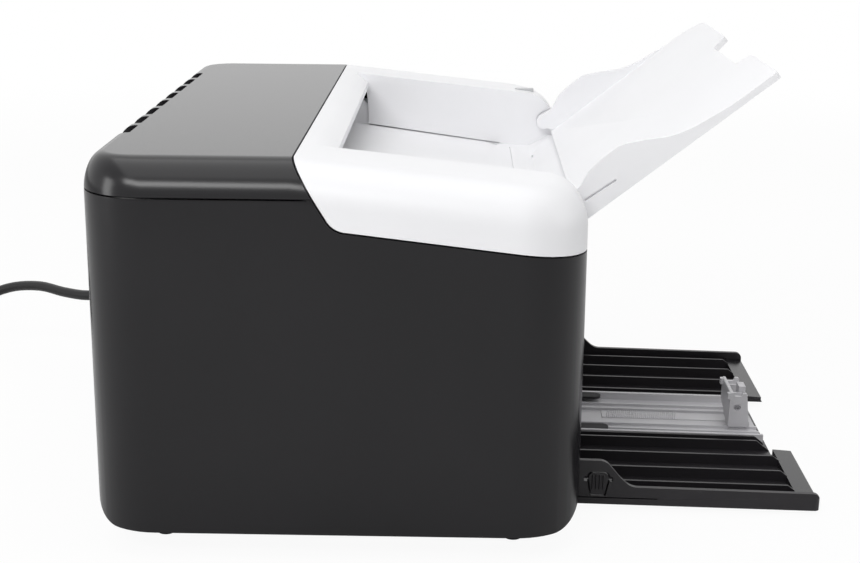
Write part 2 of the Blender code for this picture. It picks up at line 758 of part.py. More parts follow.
def build_housing():
    """Charcoal lower body: one moulding, open at the front for the tray."""
    body = keep(skin("housing skin"), housing_region("housing bounds"))
    mouth = block((-MOUTH_WIDTH / 2, FRONT_Y - OVERRUN, SKIRT_BOTTOM - OVERRUN),
                  (MOUTH_WIDTH / 2, FRONT_Y + TOE_RADIUS + WALL, COVER_KNEE_HEIGHT), "tray mouth")
    notch = MOUTH_WIDTH / 2 + LUG_THICKNESS + 2 * FIT_GAP
    lugs = block((-notch, FRONT_Y - OVERRUN, SKIRT_BOTTOM - OVERRUN),
                 (notch, FRONT_Y + TOE_RADIUS + WALL, TRAY_HINGE_HEIGHT + LUG_RADIUS), "lug notch")
    gland = rod("Y", (GLAND_X, GLAND_HEIGHT), GLAND_RADIUS + FIT_GAP, REAR_Y - OVERRUN,
                REAR_Y + OVERRUN, name="gland hole")
    socket = block((SOCKET_X - SOCKET_WIDTH / 2 - FIT_GAP, REAR_Y - OVERRUN,
                    SOCKET_HEIGHT - SOCKET_TALL / 2 - FIT_GAP),
                   (SOCKET_X + SOCKET_WIDTH / 2 + FIT_GAP, REAR_Y + OVERRUN,
                    SOCKET_HEIGHT + SOCKET_TALL / 2 + FIT_GAP), "socket hole")
    cut(body, mouth, lugs, gland, socket)
    smooth(settle(body))
    return part(body, "main_housing", "charcoal")


def build_top_cover():
    """Charcoal lid over the fuser, with a row of vents through its rear edge."""
    body = keep(skin("lid skin"), lid_region("lid bounds"))
    for index in range(VENT_COUNT):
        x = VENT_OFFSET + (index - (VENT_COUNT - 1) / 2) * VENT_PITCH
        cut(body, block((x - VENT_WIDTH / 2, FRONT_Y + VENT_FRONT, VENT_BOTTOM),
                        (x + VENT_WIDTH / 2, REAR_Y + OVERRUN, BODY_HEIGHT + OVERRUN),
                        f"vent {index}"))
    smooth(settle(body))
    return part(body, "top_cover", "charcoal")


def recess_outline():
    """Side view of the output recess: rim, paper exit, sloping floor and front sill."""
    high = BODY_HEIGHT + OVERRUN
    rim_z = crown_height(FRONT_Y + RIM_CHAMFER_REAR)
    steep = RIM_CHAMFER_DROP / (RIM_CHAMFER_REAR - RIM_EDGE)
    chamfer_top = RIM_CHAMFER_REAR + (high - rim_z) / steep
    exit_rear = COVER_TOP_REAR + OVERRUN
    return [(FRONT_Y + chamfer_top, high), (FRONT_Y + RIM_EDGE, rim_z - RIM_CHAMFER_DROP),
            (FRONT_Y + RIM_EDGE, RIM_BOTTOM), (FRONT_Y + exit_rear, RIM_BOTTOM),
            (FRONT_Y + exit_rear, FLOOR_REAR), (FRONT_Y + EXIT_REAR, FLOOR_REAR),
            (FRONT_Y + FLOOR_FRONT, FLOOR_FRONT_HEIGHT),
            (FRONT_Y + FLOOR_DIP_FRONT, FLOOR_DIP_HEIGHT), (FRONT_Y + SILL_DEPTH, SILL_HEIGHT),
            (FRONT_Y - OVERRUN, SILL_HEIGHT), (FRONT_Y - OVERRUN, high)]


def tub_outline():
    """Side view of the moulding round the recess."""
    start, knee, top = seam_points(0.0)
    high = top[1]
    rim_y = knee[0] + (RIM_BOTTOM - knee[1]) / COVER_STEEPNESS - WALL / 2
    below = RECESS_FLOOR
    return [(top[0] - WALL / 2, high), (rim_y, RIM_BOTTOM), (FRONT_Y + EXIT_REAR, RIM_BOTTOM),
            (FRONT_Y + EXIT_REAR, FLOOR_REAR - below),
            (FRONT_Y + FLOOR_FRONT, FLOOR_FRONT_HEIGHT - below),
            (FRONT_Y + FLOOR_DIP_FRONT, FLOOR_DIP_HEIGHT - below),
            (FRONT_Y + SILL_DEPTH, SILL_HEIGHT - below),
            (FRONT_Y + WALL / 2, SILL_HEIGHT - below), (FRONT_Y + WALL / 2, high)]


def build_output_cover():
    """White cover with the output recess, its sill and the two pegs of the flap."""
    half = RECESS_WIDTH / 2
    body = keep(skin("cover skin"), cover_region("cover bounds"))
    tub = plate("X", [tub_outline()], -half - RECESS_WALL, half + RECESS_WALL, "recess tub")
    keep(tub, body_form(WALL / 2, "tub bounds"))
    settle(body)
    join(body, settle(tub))
    settle(body)
    cut(body, plate("X", [recess_outline()], -half, half, "recess"))
    settle(body)
    for side in (-1, 1):
        inner, outer = side * FLAP_WIDTH / 2, side * (half + RECESS_WALL / 2)
        start = inner - side * FIN_THICKNESS
        join(body, rod("X", (FLAP_HINGE_Y, FLAP_HINGE_Z), FLAP_PIN_RADIUS - PIN_CLEARANCE,
                       min(start, outer), max(start, outer), 16, "flap peg"))
    well = block((BUTTON_X - BUTTON_WIDTH / 2 - FIT_GAP, FRONT_Y + BUTTON_FRONT - FIT_GAP,
                  BODY_HEIGHT - CROWN_RADIUS - OVERRUN),
                 (BUTTON_X + BUTTON_WIDTH / 2 + FIT_GAP, FRONT_Y + BUTTON_REAR + FIT_GAP,
                  BODY_HEIGHT + OVERRUN), "button well")
    cut(body, well)
    smooth(settle(body))
    return part(body, "output_cover", "white")


def fin_outline():
    """Side view of a flap fin, in distances along and out of the flap from its hinge."""
    long_shares = (-0.052, -0.026, 0.086, 0.132, 0.24, 0.288, 0.346, 0.442, 0.529, 0.606, 0.75)
    high_shares = (0.59, 0.70, 0.71, 0.815, 0.965, 1.0, 0.965, 0.47, 0.235, 0.147, 0.07)
    points = [(share * FLAP_LENGTH, high * FIN_HEIGHT)
              for share, high in zip(long_shares, high_shares)]
    start = (-FLAP_HINGE_BACK - FLAP_BOSS_RADIUS, FLAP_HINGE_RISE)
    base = [(FLAP_LENGTH * long_shares[-1], -FLAP_UNDER / 2), (0.0, -FLAP_UNDER / 2)]
    return base + [start] + points


def flap_local(outline):
    """From along-and-out of the flap to the pivot's own y and z."""
    return [(-(along + FLAP_HINGE_BACK), out - FLAP_HINGE_RISE) for along, out in outline]


def build_flap():
    """White output flap: a thin plate with a notched tip, a rim and two hinged side fins."""
    pivot = empty_at("flap_pivot", (0.0, FLAP_HINGE_Y, FLAP_HINGE_Z), -FLAP_ANGLE)
    half = FLAP_WIDTH / 2
    near = -FLAP_HINGE_BACK
    far = near - FLAP_LENGTH
    low = -FLAP_HINGE_RISE - FLAP_UNDER
    top = -FLAP_HINGE_RISE + FLAP_RIM
    notch_left = FLAP_NOTCH_OFFSET - FLAP_NOTCH_HALF
    notch_right = FLAP_NOTCH_OFFSET + FLAP_NOTCH_HALF
    bottom = far + FLAP_NOTCH_DEPTH
    outline = fillet([(-half, near, 0), (-half, far, FLAP_CORNER),
                      (notch_left, far, FLAP_NOTCH_RADIUS),
                      (notch_left, bottom, FLAP_NOTCH_RADIUS),
                      (notch_right, bottom, FLAP_NOTCH_RADIUS),
                      (notch_right, far, FLAP_NOTCH_RADIUS),
                      (half, far, FLAP_CORNER), (half, near, 0)], 3)
    body = plate("Z", [outline], low, top, "flap plate")
    edge = FLAP_EDGE
    pocket = fillet([(-half + FIN_THICKNESS, near - edge, 0),
                     (-half + FIN_THICKNESS, far + edge, FLAP_CORNER - edge),
                     (notch_left - edge, far + edge, FLAP_NOTCH_RADIUS),
                     (notch_left - edge, bottom + edge, FLAP_NOTCH_RADIUS),
                     (notch_right + edge, bottom + edge, FLAP_NOTCH_RADIUS),
                     (notch_right + edge, far + edge, FLAP_NOTCH_RADIUS),
                     (half - FIN_THICKNESS, far + edge, FLAP_CORNER - edge),
                     (half - FIN_THICKNESS, near - edge, 0)], 3)
    cut(body, plate("Z", [pocket], top - FLAP_POCKET, top + OVERRUN, "flap pocket"))
    for side in (-1, 1):
        outer = side * half
        inner = outer - side * FIN_THICKNESS
        fin = plate("X", [flap_local(fin_outline())], min(inner, outer), max(inner, outer), "fin")
        boss = rod("X", (0.0, 0.0), FLAP_BOSS_RADIUS, min(inner, outer), max(inner, outer), 20,
                   "fin boss")
        join(body, fin, boss)
    for side in (-1, 1):
        inner = side * (half - FIN_THICKNESS - OVERRUN / 2)
        outer = side * (half + OVERRUN / 2)
        cut(body, rod("X", (0.0, 0.0), FLAP_PIN_RADIUS, min(inner, outer), max(inner, outer), 16,
                      "fin hole"))
    smooth(settle(body))
    return part(body, "output_flap", "white", pivot)


def tray_side():
    """Side view of a tray wall: a tall cheek at the hinge falling in an S to the low wall."""
    back, seat, front = -TRAY_BACK - TRAY_SPARE, TRAY_FLOOR / 2, TRAY_LENGTH + TRAY_SPARE
    return fillet([(back, seat, 0), (front, seat, 0), (front, TRAY_WALL_HEIGHT, 0),
                   (CHEEK_END, TRAY_WALL_HEIGHT, CHEEK_FRONT),
                   (CHEEK_CROWN_END, CHEEK_HEIGHT - CHEEK_FALL, CHEEK_FRONT / 2),
                   (TRAY_FLOOR, CHEEK_HEIGHT, TRAY_FLOOR),
                   (CHEEK_HEEL, CHEEK_HEEL_HEIGHT, 0),
                   (-TRAY_BACK, TRAY_UNDER + TRAY_FLOOR, 0),
                   (back, TRAY_UNDER + TRAY_FLOOR, 0)], 5)


def tray_local(outline):
    """From along-and-up of the tray to its pivot's own y and z."""
    return [(-along, up - TRAY_UNDER) for along, up in outline]


def tray_block(low_x, high_x, start, end, bottom, top, name):
    return block((low_x, -end, bottom - TRAY_UNDER), (high_x, -start, top - TRAY_UNDER), name)


def build_tray(pivot):
    """Black fold-down tray: floor with ribs, side walls with cheeks, and a split front lip."""
    half = TRAY_WIDTH / 2
    inside = half - TRAY_WALL
    wide = half + TRAY_SPARE
    seat = TRAY_FLOOR / 2
    body = tray_block(-wide, wide, -TRAY_BACK - TRAY_SPARE, TRAY_LENGTH + TRAY_SPARE, 0.0,
                      TRAY_FLOOR, "tray floor")
    top = TRAY_FLOOR + FIT_GAP + CHANNEL_HEIGHT
    for side in (-1, 1):
        for share in RIB_PLACE_SHARES:
            x = side * share * half
            join(body, tray_block(x - RIB_WIDTH / 2, x + RIB_WIDTH / 2, RIB_START, RIB_END, seat,
                                  RIB_HEIGHT, "tray rib"))
        walls = sorted((side * inside, side * wide))
        join(body, plate("X", [tray_local(tray_side())], *walls, "tray wall"))
        low, high = side * TAB_X - TAB_WIDTH / 2, side * TAB_X + TAB_WIDTH / 2
        end = CHANNEL_START + TAB_LENGTH
        round_end = TAB_WIDTH * 0.45
        tongue = fillet([(low, -TAB_THICKNESS, 0), (high, -TAB_THICKNESS, 0),
                         (high, -end, round_end), (low, -end, round_end)], 4)
        join(body, plate("Z", [tongue], top - TAB_THICKNESS - TRAY_UNDER, top - TRAY_UNDER,
                         "tab"))
        inset = TAB_THICKNESS / 4
        join(body, tray_block(low + inset, high - inset, 0.0, CHANNEL_START - FIT_GAP, seat,
                              top - inset, "tab root"))
    join(body, tray_block(-wide + seat, wide - seat, LIP_START, TRAY_LENGTH + TRAY_SPARE / 2,
                          seat, LIP_HEIGHT, "lip"))
    settle(body)
    plan = fillet([(-half, -TRAY_LENGTH, TRAY_CORNER), (half, -TRAY_LENGTH, TRAY_CORNER),
                   (half, TRAY_BACK, 0), (-half, TRAY_BACK, 0)], 5)
    keep(body, plate("Z", [plan], -TRAY_UNDER - OVERRUN, CHEEK_HEIGHT, "tray plan"))
    settle(body)
    cut(body, tray_block(-LIP_GAP_HALF, LIP_GAP_HALF, RIB_END + RIB_WIDTH / 4,
                         TRAY_LENGTH + OVERRUN, -OVERRUN, CHEEK_HEIGHT, "finger gap"))
    settle(body)
    for side in (-1, 1):
        walls = sorted((side * (inside - OVERRUN), side * (half + OVERRUN)))
        window = rectangle(LATCH_START - FIT_GAP, LATCH_END + FIT_GAP, LATCH_BOTTOM - FIT_GAP,
                           LATCH_TOP + FIT_GAP, LATCH_RADIUS, 4)
        cut(body, plate("X", [tray_local(window)], *walls, "latch window"),
            rod("X", (0.0, 0.0), TRAY_PIN_RADIUS + PIN_CLEARANCE, *walls, 16, "tray hinge hole"))
    smooth(settle(body))
    return part(body, "tray_door", "black", pivot)


def build_latches(pivot):
    """Snap latches that hold the closed tray: round-cornered pads with finger grips."""
    for side, name in ((-1, "tray_latch_near"), (1, "tray_latch_far")):
        outer = side * TRAY_WIDTH / 2
        inner = outer - side * LATCH_THICKNESS
        pad = rectangle(LATCH_START, LATCH_END, LATCH_BOTTOM, LATCH_TOP, LATCH_RADIUS, 4)
        body = plate("X", [tray_local(pad)], min(inner, outer), max(inner, outer), "latch pad")
        pitch = (LATCH_END - LATCH_START) / (LATCH_GRIPS + 2)
        for index in range(LATCH_GRIPS):
            start = LATCH_START + pitch * (index + 1.25)
            reach = sorted((inner, outer + side * LATCH_GRIP_RISE))
            join(body, tray_block(*reach, start, start + pitch / 2, LATCH_BOTTOM + LATCH_RADIUS,
                                  LATCH_TOP - LATCH_RADIUS / 2, "grip"))
        smooth(settle(body))
        part(body, name, "black", pivot)


def build_channel(pivot):
    """Pale channel down the middle of the tray: side walls, two rails and a rack."""
    half = CHANNEL_WIDTH / 2
    under = TRAY_FLOOR + FIT_GAP
    floor = under + CHANNEL_BASE
    top = under + CHANNEL_HEIGHT
    rail = (RAIL_X - RAIL_WIDTH / 2, RAIL_X + RAIL_WIDTH / 2, floor + RAIL_WIDTH)
    right = [(half, under), (half, top), (half - CHANNEL_WALL, top),
             (half - CHANNEL_WALL, floor), (rail[1], floor), (rail[1], rail[2]),
             (rail[0], rail[2]), (rail[0], floor)]
    section = right + [(-x, z) for x, z in reversed(right)]
    lowered = [(x, z - TRAY_UNDER) for x, z in section]
    body = plate("Y", [lowered], -CHANNEL_END, -CHANNEL_START, "channel")
    pitch = RACK_LENGTH / RACK_TEETH
    teeth = [(RACK_START, floor - CHANNEL_BASE / 2)]
    for index in range(RACK_TEETH):
        start = RACK_START + index * pitch
        teeth += [(start, floor + RACK_RISE / 4), (start + pitch / 2, floor + RACK_RISE)]
    bar_start = RACK_START + RACK_LENGTH
    teeth += [(bar_start, floor + RACK_RISE / 2), (bar_start + BAR_LENGTH, floor + RACK_RISE / 2),
              (bar_start + BAR_LENGTH, floor - CHANNEL_BASE / 2)]
    join(body, plate("X", [tray_local(teeth)], RACK_X - RACK_WIDTH / 2, RACK_X + RACK_WIDTH / 2,
                     "rack"))
    smooth(settle(body))
    return part(body, "guide_channel", "pale_grey", pivot)


def build_end_guide(pivot):
    """Stop at the tail of the paper, with a squeeze lever between its cheeks."""
    half = GUIDE_WIDTH / 2
    bottom = TRAY_FLOOR + 2 * FIT_GAP + CHANNEL_BASE + RACK_RISE
    top = bottom + GUIDE_HEIGHT
    holder = empty_at("end_guide_runner", (0.0, 0.0, 0.0))
    holder.parent = pivot
    body = tray_block(-half, half, GUIDE_NEAR, GUIDE_FAR, bottom, top, "guide block")
    pocket_low = bottom + GUIDE_FLANGE
    cut(body, tray_block(-half + GUIDE_WALL, half - GUIDE_WALL, GUIDE_NEAR + GUIDE_WALL,
                         GUIDE_FAR + OVERRUN, pocket_low, top - GUIDE_WALL, "guide pocket"))
    foot = GUIDE_FLANGE_WIDTH / 2
    join(body, tray_block(-foot, foot, GUIDE_NEAR, GUIDE_FAR, bottom, pocket_low, "guide foot"))
    slot = LEVER_WIDTH / 2 + LEVER_GAP / 2
    cut(body, tray_block(-slot, slot, GUIDE_NEAR + 2 * GUIDE_WALL, GUIDE_FAR + OVERRUN,
                         top - 2 * GUIDE_WALL, top + OVERRUN, "lever slot"))
    axis_along = GUIDE_FAR - LEVER_GAP - LEVER_THICKNESS / 2
    axis_up = pocket_low + LEVER_PIVOT_RISE
    settle(body)
    cut(body, rod("X", (-axis_along, axis_up - TRAY_UNDER), LEVER_PIN + PIN_CLEARANCE,
                  -half - OVERRUN, half + OVERRUN, 12, "lever pin hole"))
    smooth(settle(body))
    part(body, "end_guide", "pale_grey", holder)

    swing = empty_at("guide_lever_pivot", (0.0, -axis_along, axis_up - TRAY_UNDER))
    swing.parent = holder
    tall = LEVER_HEIGHT - LEVER_PIVOT_RISE
    lever = block((-LEVER_WIDTH / 2, -LEVER_THICKNESS / 2, -LEVER_PIVOT_RISE + FIT_GAP),
                  (LEVER_WIDTH / 2, LEVER_THICKNESS / 2, tall), "lever blade")
    thumb = block((-LEVER_WIDTH / 2, -LEVER_GAP, tall - LEVER_THICKNESS),
                  (LEVER_WIDTH / 2, LEVER_THICKNESS / 2, tall + LEVER_THICKNESS / 2), "thumb")
    axle = rod("X", (0.0, 0.0), LEVER_PIN, -half + GUIDE_WALL / 2, half - GUIDE_WALL / 2, 12,
               "lever axle")
    join(lever, thumb, axle)
    smooth(settle(lever))
    part(lever, "guide_lever", "pale_grey", swing)


def pan_plan(inset, low_trim):
    """Plan of the base pan, inset from the body's sides and from its rounded toes."""
    half = HALF_BODY - inset
    return rectangle(-half, half, FRONT_Y + low_trim, REAR_Y - low_trim, PAN_CORNER - inset)


def build_base_pan():
    """Floor of the machine: a pan under the body, with the two lugs the tray turns on."""
    flange_top = SKIRT_BOTTOM - FIT_GAP
    trim = TOE_RADIUS
    body = plate("Z", [pan_plan(PAN_EDGE, trim)], flange_top - PAN_FLANGE, flange_top,
                 "pan flange")
    under = plate("Z", [pan_plan(PAN_INSET, trim + PAN_FLOOR)], PAN_BOTTOM,
                  flange_top - PAN_FLANGE / 2, "pan box")
    hollow = plate("Z", [pan_plan(PAN_INSET + PAN_FLOOR, trim + 2 * PAN_FLOOR)],
                   PAN_BOTTOM + PAN_FLOOR, flange_top + OVERRUN, "pan inside")
    join(body, under)
    cut(body, hollow)
    settle(body)
    for side in (-1, 1):
        inner = side * (MOUTH_WIDTH / 2 + FIT_GAP)
        outer = inner + side * LUG_THICKNESS
        faces = sorted((inner, outer))
        arm = [(TRAY_HINGE_Y, TRAY_HINGE_HEIGHT - LUG_RADIUS / 2),
               (FRONT_Y + trim + PAN_FLANGE, flange_top - PAN_FLANGE),
               (FRONT_Y + trim + PAN_FLANGE, flange_top),
               (TRAY_HINGE_Y, TRAY_HINGE_HEIGHT + LUG_RADIUS / 2)]
        join(body, plate("X", [arm], *faces, "lug arm"),
             rod("X", (TRAY_HINGE_Y, TRAY_HINGE_HEIGHT), LUG_RADIUS * 0.75, *faces, 20,
                 "lug eye"))
        settle(body)
        pin = sorted((outer, side * (TRAY_WIDTH / 2 - TRAY_WALL)))
        join(body, rod("X", (TRAY_HINGE_Y, TRAY_HINGE_HEIGHT), TRAY_PIN_RADIUS, *pin, 16,
                       "tray pin"))
        settle(body)
    smooth(body)
    return part(body, "base_pan", "black")


def build_feet():
    places = {"foot_front_near": (-1, -1), "foot_front_far": (1, -1),
              "foot_rear_near": (-1, 1), "foot_rear_far": (1, 1)}
    for name, (side, end) in places.items():
        x = side * (HALF_BODY - FOOT_INSET)
        y = MIDDLE_Y + end * (BODY_DEPTH / 2 - FOOT_INSET)
        part(rod("Z", (x, y), FOOT_RADIUS, 0.0, PAN_BOTTOM - FIT_GAP, 24, name), name, "rubber")


def build_power_button():
    low = crown_height(FRONT_Y + BUTTON_FRONT) - CROWN_RADIUS / 2
    top = crown_height(FRONT_Y + (BUTTON_FRONT + BUTTON_REAR) / 2)
    pivot = empty_at("power_button_guide", (BUTTON_X, FRONT_Y + (BUTTON_FRONT + BUTTON_REAR) / 2,
                                            top))
    half_long = (BUTTON_REAR - BUTTON_FRONT) / 2
    outline = rectangle(-BUTTON_WIDTH / 2, BUTTON_WIDTH / 2, -half_long, half_long,
                        BUTTON_WIDTH * 0.45, 3)
    body = plate("Z", [outline], low - top, BUTTON_RISE, "button cap")
    smooth(body)
    part(body, "power_button", "white", pivot)


def gear_outline(teeth, pitch_radius, phase=0.0):
    """Straight-sided gear teeth, thinner than their gaps so that they run free."""
    root, tip = pitch_radius - TOOTH_DEDENDUM, pitch_radius + TOOTH_ADDENDUM
    step = 2 * pi / teeth
    points = []
    for tooth in range(teeth):
        middle = phase + tooth * step
        for radius, share in ((root, -0.30), (tip, -0.14), (tip, 0.14), (root, 0.30)):
            points.append((radius * cos(middle + share * step),
                           radius * sin(middle + share * step)))
    return points


def build_paper_bed():
    """Floor that the paper lies on, with a groove across it for the side guides."""
    half = BED_WIDTH / 2
    low = PAN_BOTTOM + PAN_FLOOR + FIT_GAP
    groove = PINION_RADIUS + TOOTH_DEDENDUM + RACK_BAR_DEPTH + FIT_GAP
    centre = FRONT_Y + PINION_Y
    body = block((-half, FRONT_Y + BED_FRONT, low), (half, FRONT_Y + BED_REAR, low + BED_THICKNESS),
                 "bed")
    cut(body, block((-half - OVERRUN, centre - groove, low + BED_GROOVE_FLOOR),
                    (half + OVERRUN, centre + groove, low + BED_THICKNESS + OVERRUN),
                    "guide groove"))
    settle(body)
    hub = rod("Z", (0.0, centre), SHAFT_RADIUS, low + BED_GROOVE_FLOOR / 2,
              low + BED_THICKNESS, 16, "pinion hub")
    join(body, hub)
    smooth(settle(body))
    part(body, "paper_bed", "black")


def build_side_guides():
    """Two side guides whose racks face each other across one pinion."""
    bed = PAN_BOTTOM + PAN_FLOOR + FIT_GAP
    rack_low = bed + BED_GROOVE_FLOOR + FIT_GAP
    rack_top = bed + BED_THICKNESS - FIT_GAP
    centre = FRONT_Y + PINION_Y
    pitch = 2 * pi * PINION_RADIUS / PINION_TEETH
    face = -PAPER_WIDTH / 2
    back = face - SIDE_GUIDE_WALL
    foot = bed + BED_THICKNESS + FIT_GAP
    base = centre - PINION_RADIUS - TOOTH_DEDENDUM - RACK_BAR_DEPTH
    root = centre - PINION_RADIUS - TOOTH_DEDENDUM
    tip = centre - PINION_RADIUS + TOOTH_ADDENDUM
    # The teeth are counted from the pinion, so that a gap of the rack faces its tooth.
    first = ceil(-RACK_OVERLAP / pitch)
    last = int((SIDE_GUIDE_TRAVEL + RACK_OVERLAP) / pitch)
    start = (face + back) / 2
    outline = [(start, base), (start, root)]
    for index in range(last, first - 1, -1):
        middle = -(index + 0.5) * pitch
        for y, share in ((root, 0.30), (tip, 0.14), (tip, -0.14), (root, -0.30)):
            outline.append((middle - share * pitch, y))
    outline += [(RACK_OVERLAP, root), (RACK_OVERLAP, base)]
    top = foot + SIDE_GUIDE_HEIGHT
    half_long = (SIDE_GUIDE_REAR - SIDE_GUIDE_FRONT) / 2
    seat = (rack_low + rack_top) / 2
    near = block((back, centre - half_long, foot), (face, centre + half_long, top), "guide wall")
    knee = block((back + FIT_GAP, base + FIT_GAP, seat),
                 (face - FIT_GAP, root - FIT_GAP, foot + SIDE_GUIDE_WALL), "guide knee")
    join(near, knee, plate("Z", [outline], rack_low, rack_top, "guide rack"))
    settle(near)
    far = add_object("far guide", near.data.copy())
    swap = Matrix.Translation((0.0, centre, 0.0)) @ Matrix.Rotation(pi, 4, "Z")
    far.data.transform(swap @ Matrix.Translation((0.0, -centre, 0.0)))
    part(near, "side_guide_near", "black")
    part(far, "side_guide_far", "black")
    pivot = empty_at("guide_pinion_pivot", (0.0, centre, 0.0))
    outline = gear_outline(PINION_TEETH, PINION_RADIUS, pi / 2)
    pinion = plate("Z", [outline, circle(0.0, 0.0, SHAFT_RADIUS + PIN_CLEARANCE, 16)],
                   rack_low, rack_top, "pinion")
    part(pinion, "guide_pinion", "pale_grey", pivot)


def roller(name, finish, place, radius, spans, shaft_ends, sides=24):
    """Rubber sleeves on one shaft, turning on the shaft's axis."""
    y, z = place
    pivot = empty_at(f"{name}_axis", (0.0, y, z))
    body = rod("X", (0.0, 0.0), min(SHAFT_RADIUS, radius * 0.6), *shaft_ends, 16, "shaft")
    for start, end in spans:
        join(body, rod("X", (0.0, 0.0), radius, start, end, sides, "sleeve"))
    smooth(settle(body))
    return part(body, name, finish, pivot)


def build_rollers():
    """Rollers of the paper path, each with its shaft in the side frames."""
    reach = FRAME_X + FRAME_THICKNESS
    ends = (-reach, reach)
    pick = PICK_WIDTH / 2
    roller("pick_roller", "grey_rubber", (FRONT_Y + PICK_Y, PICK_Z), PICK_RADIUS,
           [(-pick, pick)], ends)
    feed = [(side * ROLLER_OFFSET - ROLLER_WIDTH / 2, side * ROLLER_OFFSET + ROLLER_WIDTH / 2)
            for side in (-1, 1)]
    roller("feed_roller", "grey_rubber", (FRONT_Y + FEED_Y, FEED_Z), FEED_RADIUS, feed, ends)
    pinch_y = FRONT_Y + FEED_Y + FEED_RADIUS + PINCH_RADIUS + FIT_GAP
    roller("feed_pinch_roller", "pale_grey", (pinch_y, FEED_Z), PINCH_RADIUS, feed, ends, 16)
    drum = DRUM_WIDTH / 2
    roller("photo_drum", "drum_coat", (FRONT_Y + DRUM_Y, DRUM_Z), DRUM_RADIUS,
           [(-drum, drum)], ends)
    transfer_y = FRONT_Y + DRUM_Y + DRUM_RADIUS + TRANSFER_RADIUS + FIT_GAP
    roller("transfer_roller", "rubber", (transfer_y, DRUM_Z), TRANSFER_RADIUS,
           [(-drum, drum)], ends)
    heat = HEAT_WIDTH / 2
    roller("heat_roller", "red_brown", (FRONT_Y + HEAT_Y, HEAT_Z), HEAT_RADIUS,
           [(-heat, heat)], ends)
    press_y = FRONT_Y + HEAT_Y + 2 * HEAT_RADIUS + FIT_GAP
    roller("pressure_roller", "red_brown", (press_y, HEAT_Z), HEAT_RADIUS,
           [(-heat, heat)], ends)
    wide = RECESS_WIDTH / 2
    spans = [(share * wide - EXIT_ROLLER_WIDTH / 2, share * wide + EXIT_ROLLER_WIDTH / 2)
             for share in EXIT_PLACE_SHARES]
    roller("exit_roller", "grey_rubber", (FRONT_Y + EXIT_Y, EXIT_Z - EXIT_RADIUS - FIT_GAP),
           EXIT_RADIUS, spans, ends, 20)
    roller("exit_pinch_roller", "pale_grey",
           (FRONT_Y + EXIT_Y, EXIT_Z + PINCH_RADIUS + FIT_GAP), PINCH_RADIUS, spans, ends, 16)


def shaft_places():
    """Where the shafts cross the side frames: y, z and the shaft's radius."""
    pinch = PINCH_RADIUS * 0.6
    return [(PICK_Y, PICK_Z, SHAFT_RADIUS), (FEED_Y, FEED_Z, SHAFT_RADIUS),
            (FEED_Y + FEED_RADIUS + PINCH_RADIUS + FIT_GAP, FEED_Z, pinch),
            (DRUM_Y, DRUM_Z, SHAFT_RADIUS),
            (DRUM_Y + DRUM_RADIUS + TRANSFER_RADIUS + FIT_GAP, DRUM_Z, SHAFT_RADIUS),
            (HEAT_Y, HEAT_Z, SHAFT_RADIUS), (HEAT_Y + 2 * HEAT_RADIUS + FIT_GAP, HEAT_Z, SHAFT_RADIUS),
            (EXIT_Y, EXIT_Z - EXIT_RADIUS - FIT_GAP, SHAFT_RADIUS),
            (EXIT_Y, EXIT_Z + PINCH_RADIUS + FIT_GAP, pinch)]


def build_side_frames():
    """Two sheet-metal frames that carry every shaft, standing on the base pan."""
    low = PAN_BOTTOM + PAN_FLOOR + FIT_GAP
    front, rear = FRONT_Y + FRAME_FRONT, FRONT_Y + FRAME_REAR
    pan_rear = REAR_Y - TOE_RADIUS - 2 * PAN_FLOOR - FIT_GAP
    step = FRONT_Y + FRAME_STEP
    shelf = SKIRT_BOTTOM + TOE_RADIUS
    outline = [(front, low), (pan_rear, low), (pan_rear, shelf), (rear, shelf),
               (rear, FRAME_TOP), (step + WALL, FRAME_TOP), (step, FRAME_LOW_TOP),
               (front, FRAME_LOW_TOP)]
    bores = [circle(FRONT_Y + y, z, radius + BEARING_GAP, 16) for y, z, radius in shaft_places()]
    for side, name in ((-1, "side_frame_near"), (1, "side_frame_far")):
        faces = sorted((side * FRAME_X, side * (FRAME_X + FRAME_THICKNESS)))
        body = plate("X", [outline] + bores, *faces, "frame sheet")
        part(body, name, "zinc_sheet")


def build_imaging():
    """Toner cartridge, laser unit and fuser frame, held between the side frames."""
    reach = FRAME_X - FIT_GAP
    front, rear = FRONT_Y + CARTRIDGE_FRONT, FRONT_Y + CARTRIDGE_REAR
    low, high, roof = CARTRIDGE_BOTTOM, CARTRIDGE_TOP, CARTRIDGE_ROOF
    edge = CORNER_RADIUS / 5
    outline = fillet([(front, low + edge, edge), (rear - edge, low, edge), (rear, low + edge, 0),
                      (rear, high - edge, 0), (rear - 2 * edge, roof, edge),
                      (front + 2 * edge, roof, edge), (front, high, edge)], 3)
    part(plate("X", [outline], -reach, reach, "cartridge"), "toner_cartridge", "black")
    scanner = block((-reach, FRONT_Y + SCANNER_FRONT, SCANNER_BOTTOM),
                    (reach, FRONT_Y + SCANNER_REAR, SCANNER_TOP), "scanner")
    part(scanner, "laser_scanner", "black")
    clear = HEAT_RADIUS + 2 * FIT_GAP
    low, top = HEAT_Z - clear, HEAT_Z + clear + FUSER_WALL
    front = FRONT_Y + HEAT_Y - clear - FUSER_WALL
    back = FRONT_Y + HEAT_Y - HEAT_RADIUS * 0.1
    shell = [(front, low), (front + FUSER_WALL, low), (front + FUSER_WALL, top - FUSER_WALL),
             (back, top - FUSER_WALL), (back, top), (front, top)]
    part(plate("X", [shell], -reach, reach, "fuser shell"), "fuser_frame", "zinc_sheet")
    pad = PAD_WIDTH / 2
    part(block((-pad, FRONT_Y + PAD_FRONT, PAD_BOTTOM),
               (pad, FRONT_Y + PAD_REAR, PAD_BOTTOM + PAD_HEIGHT), "pad"),
         "separation_pad", "cork")


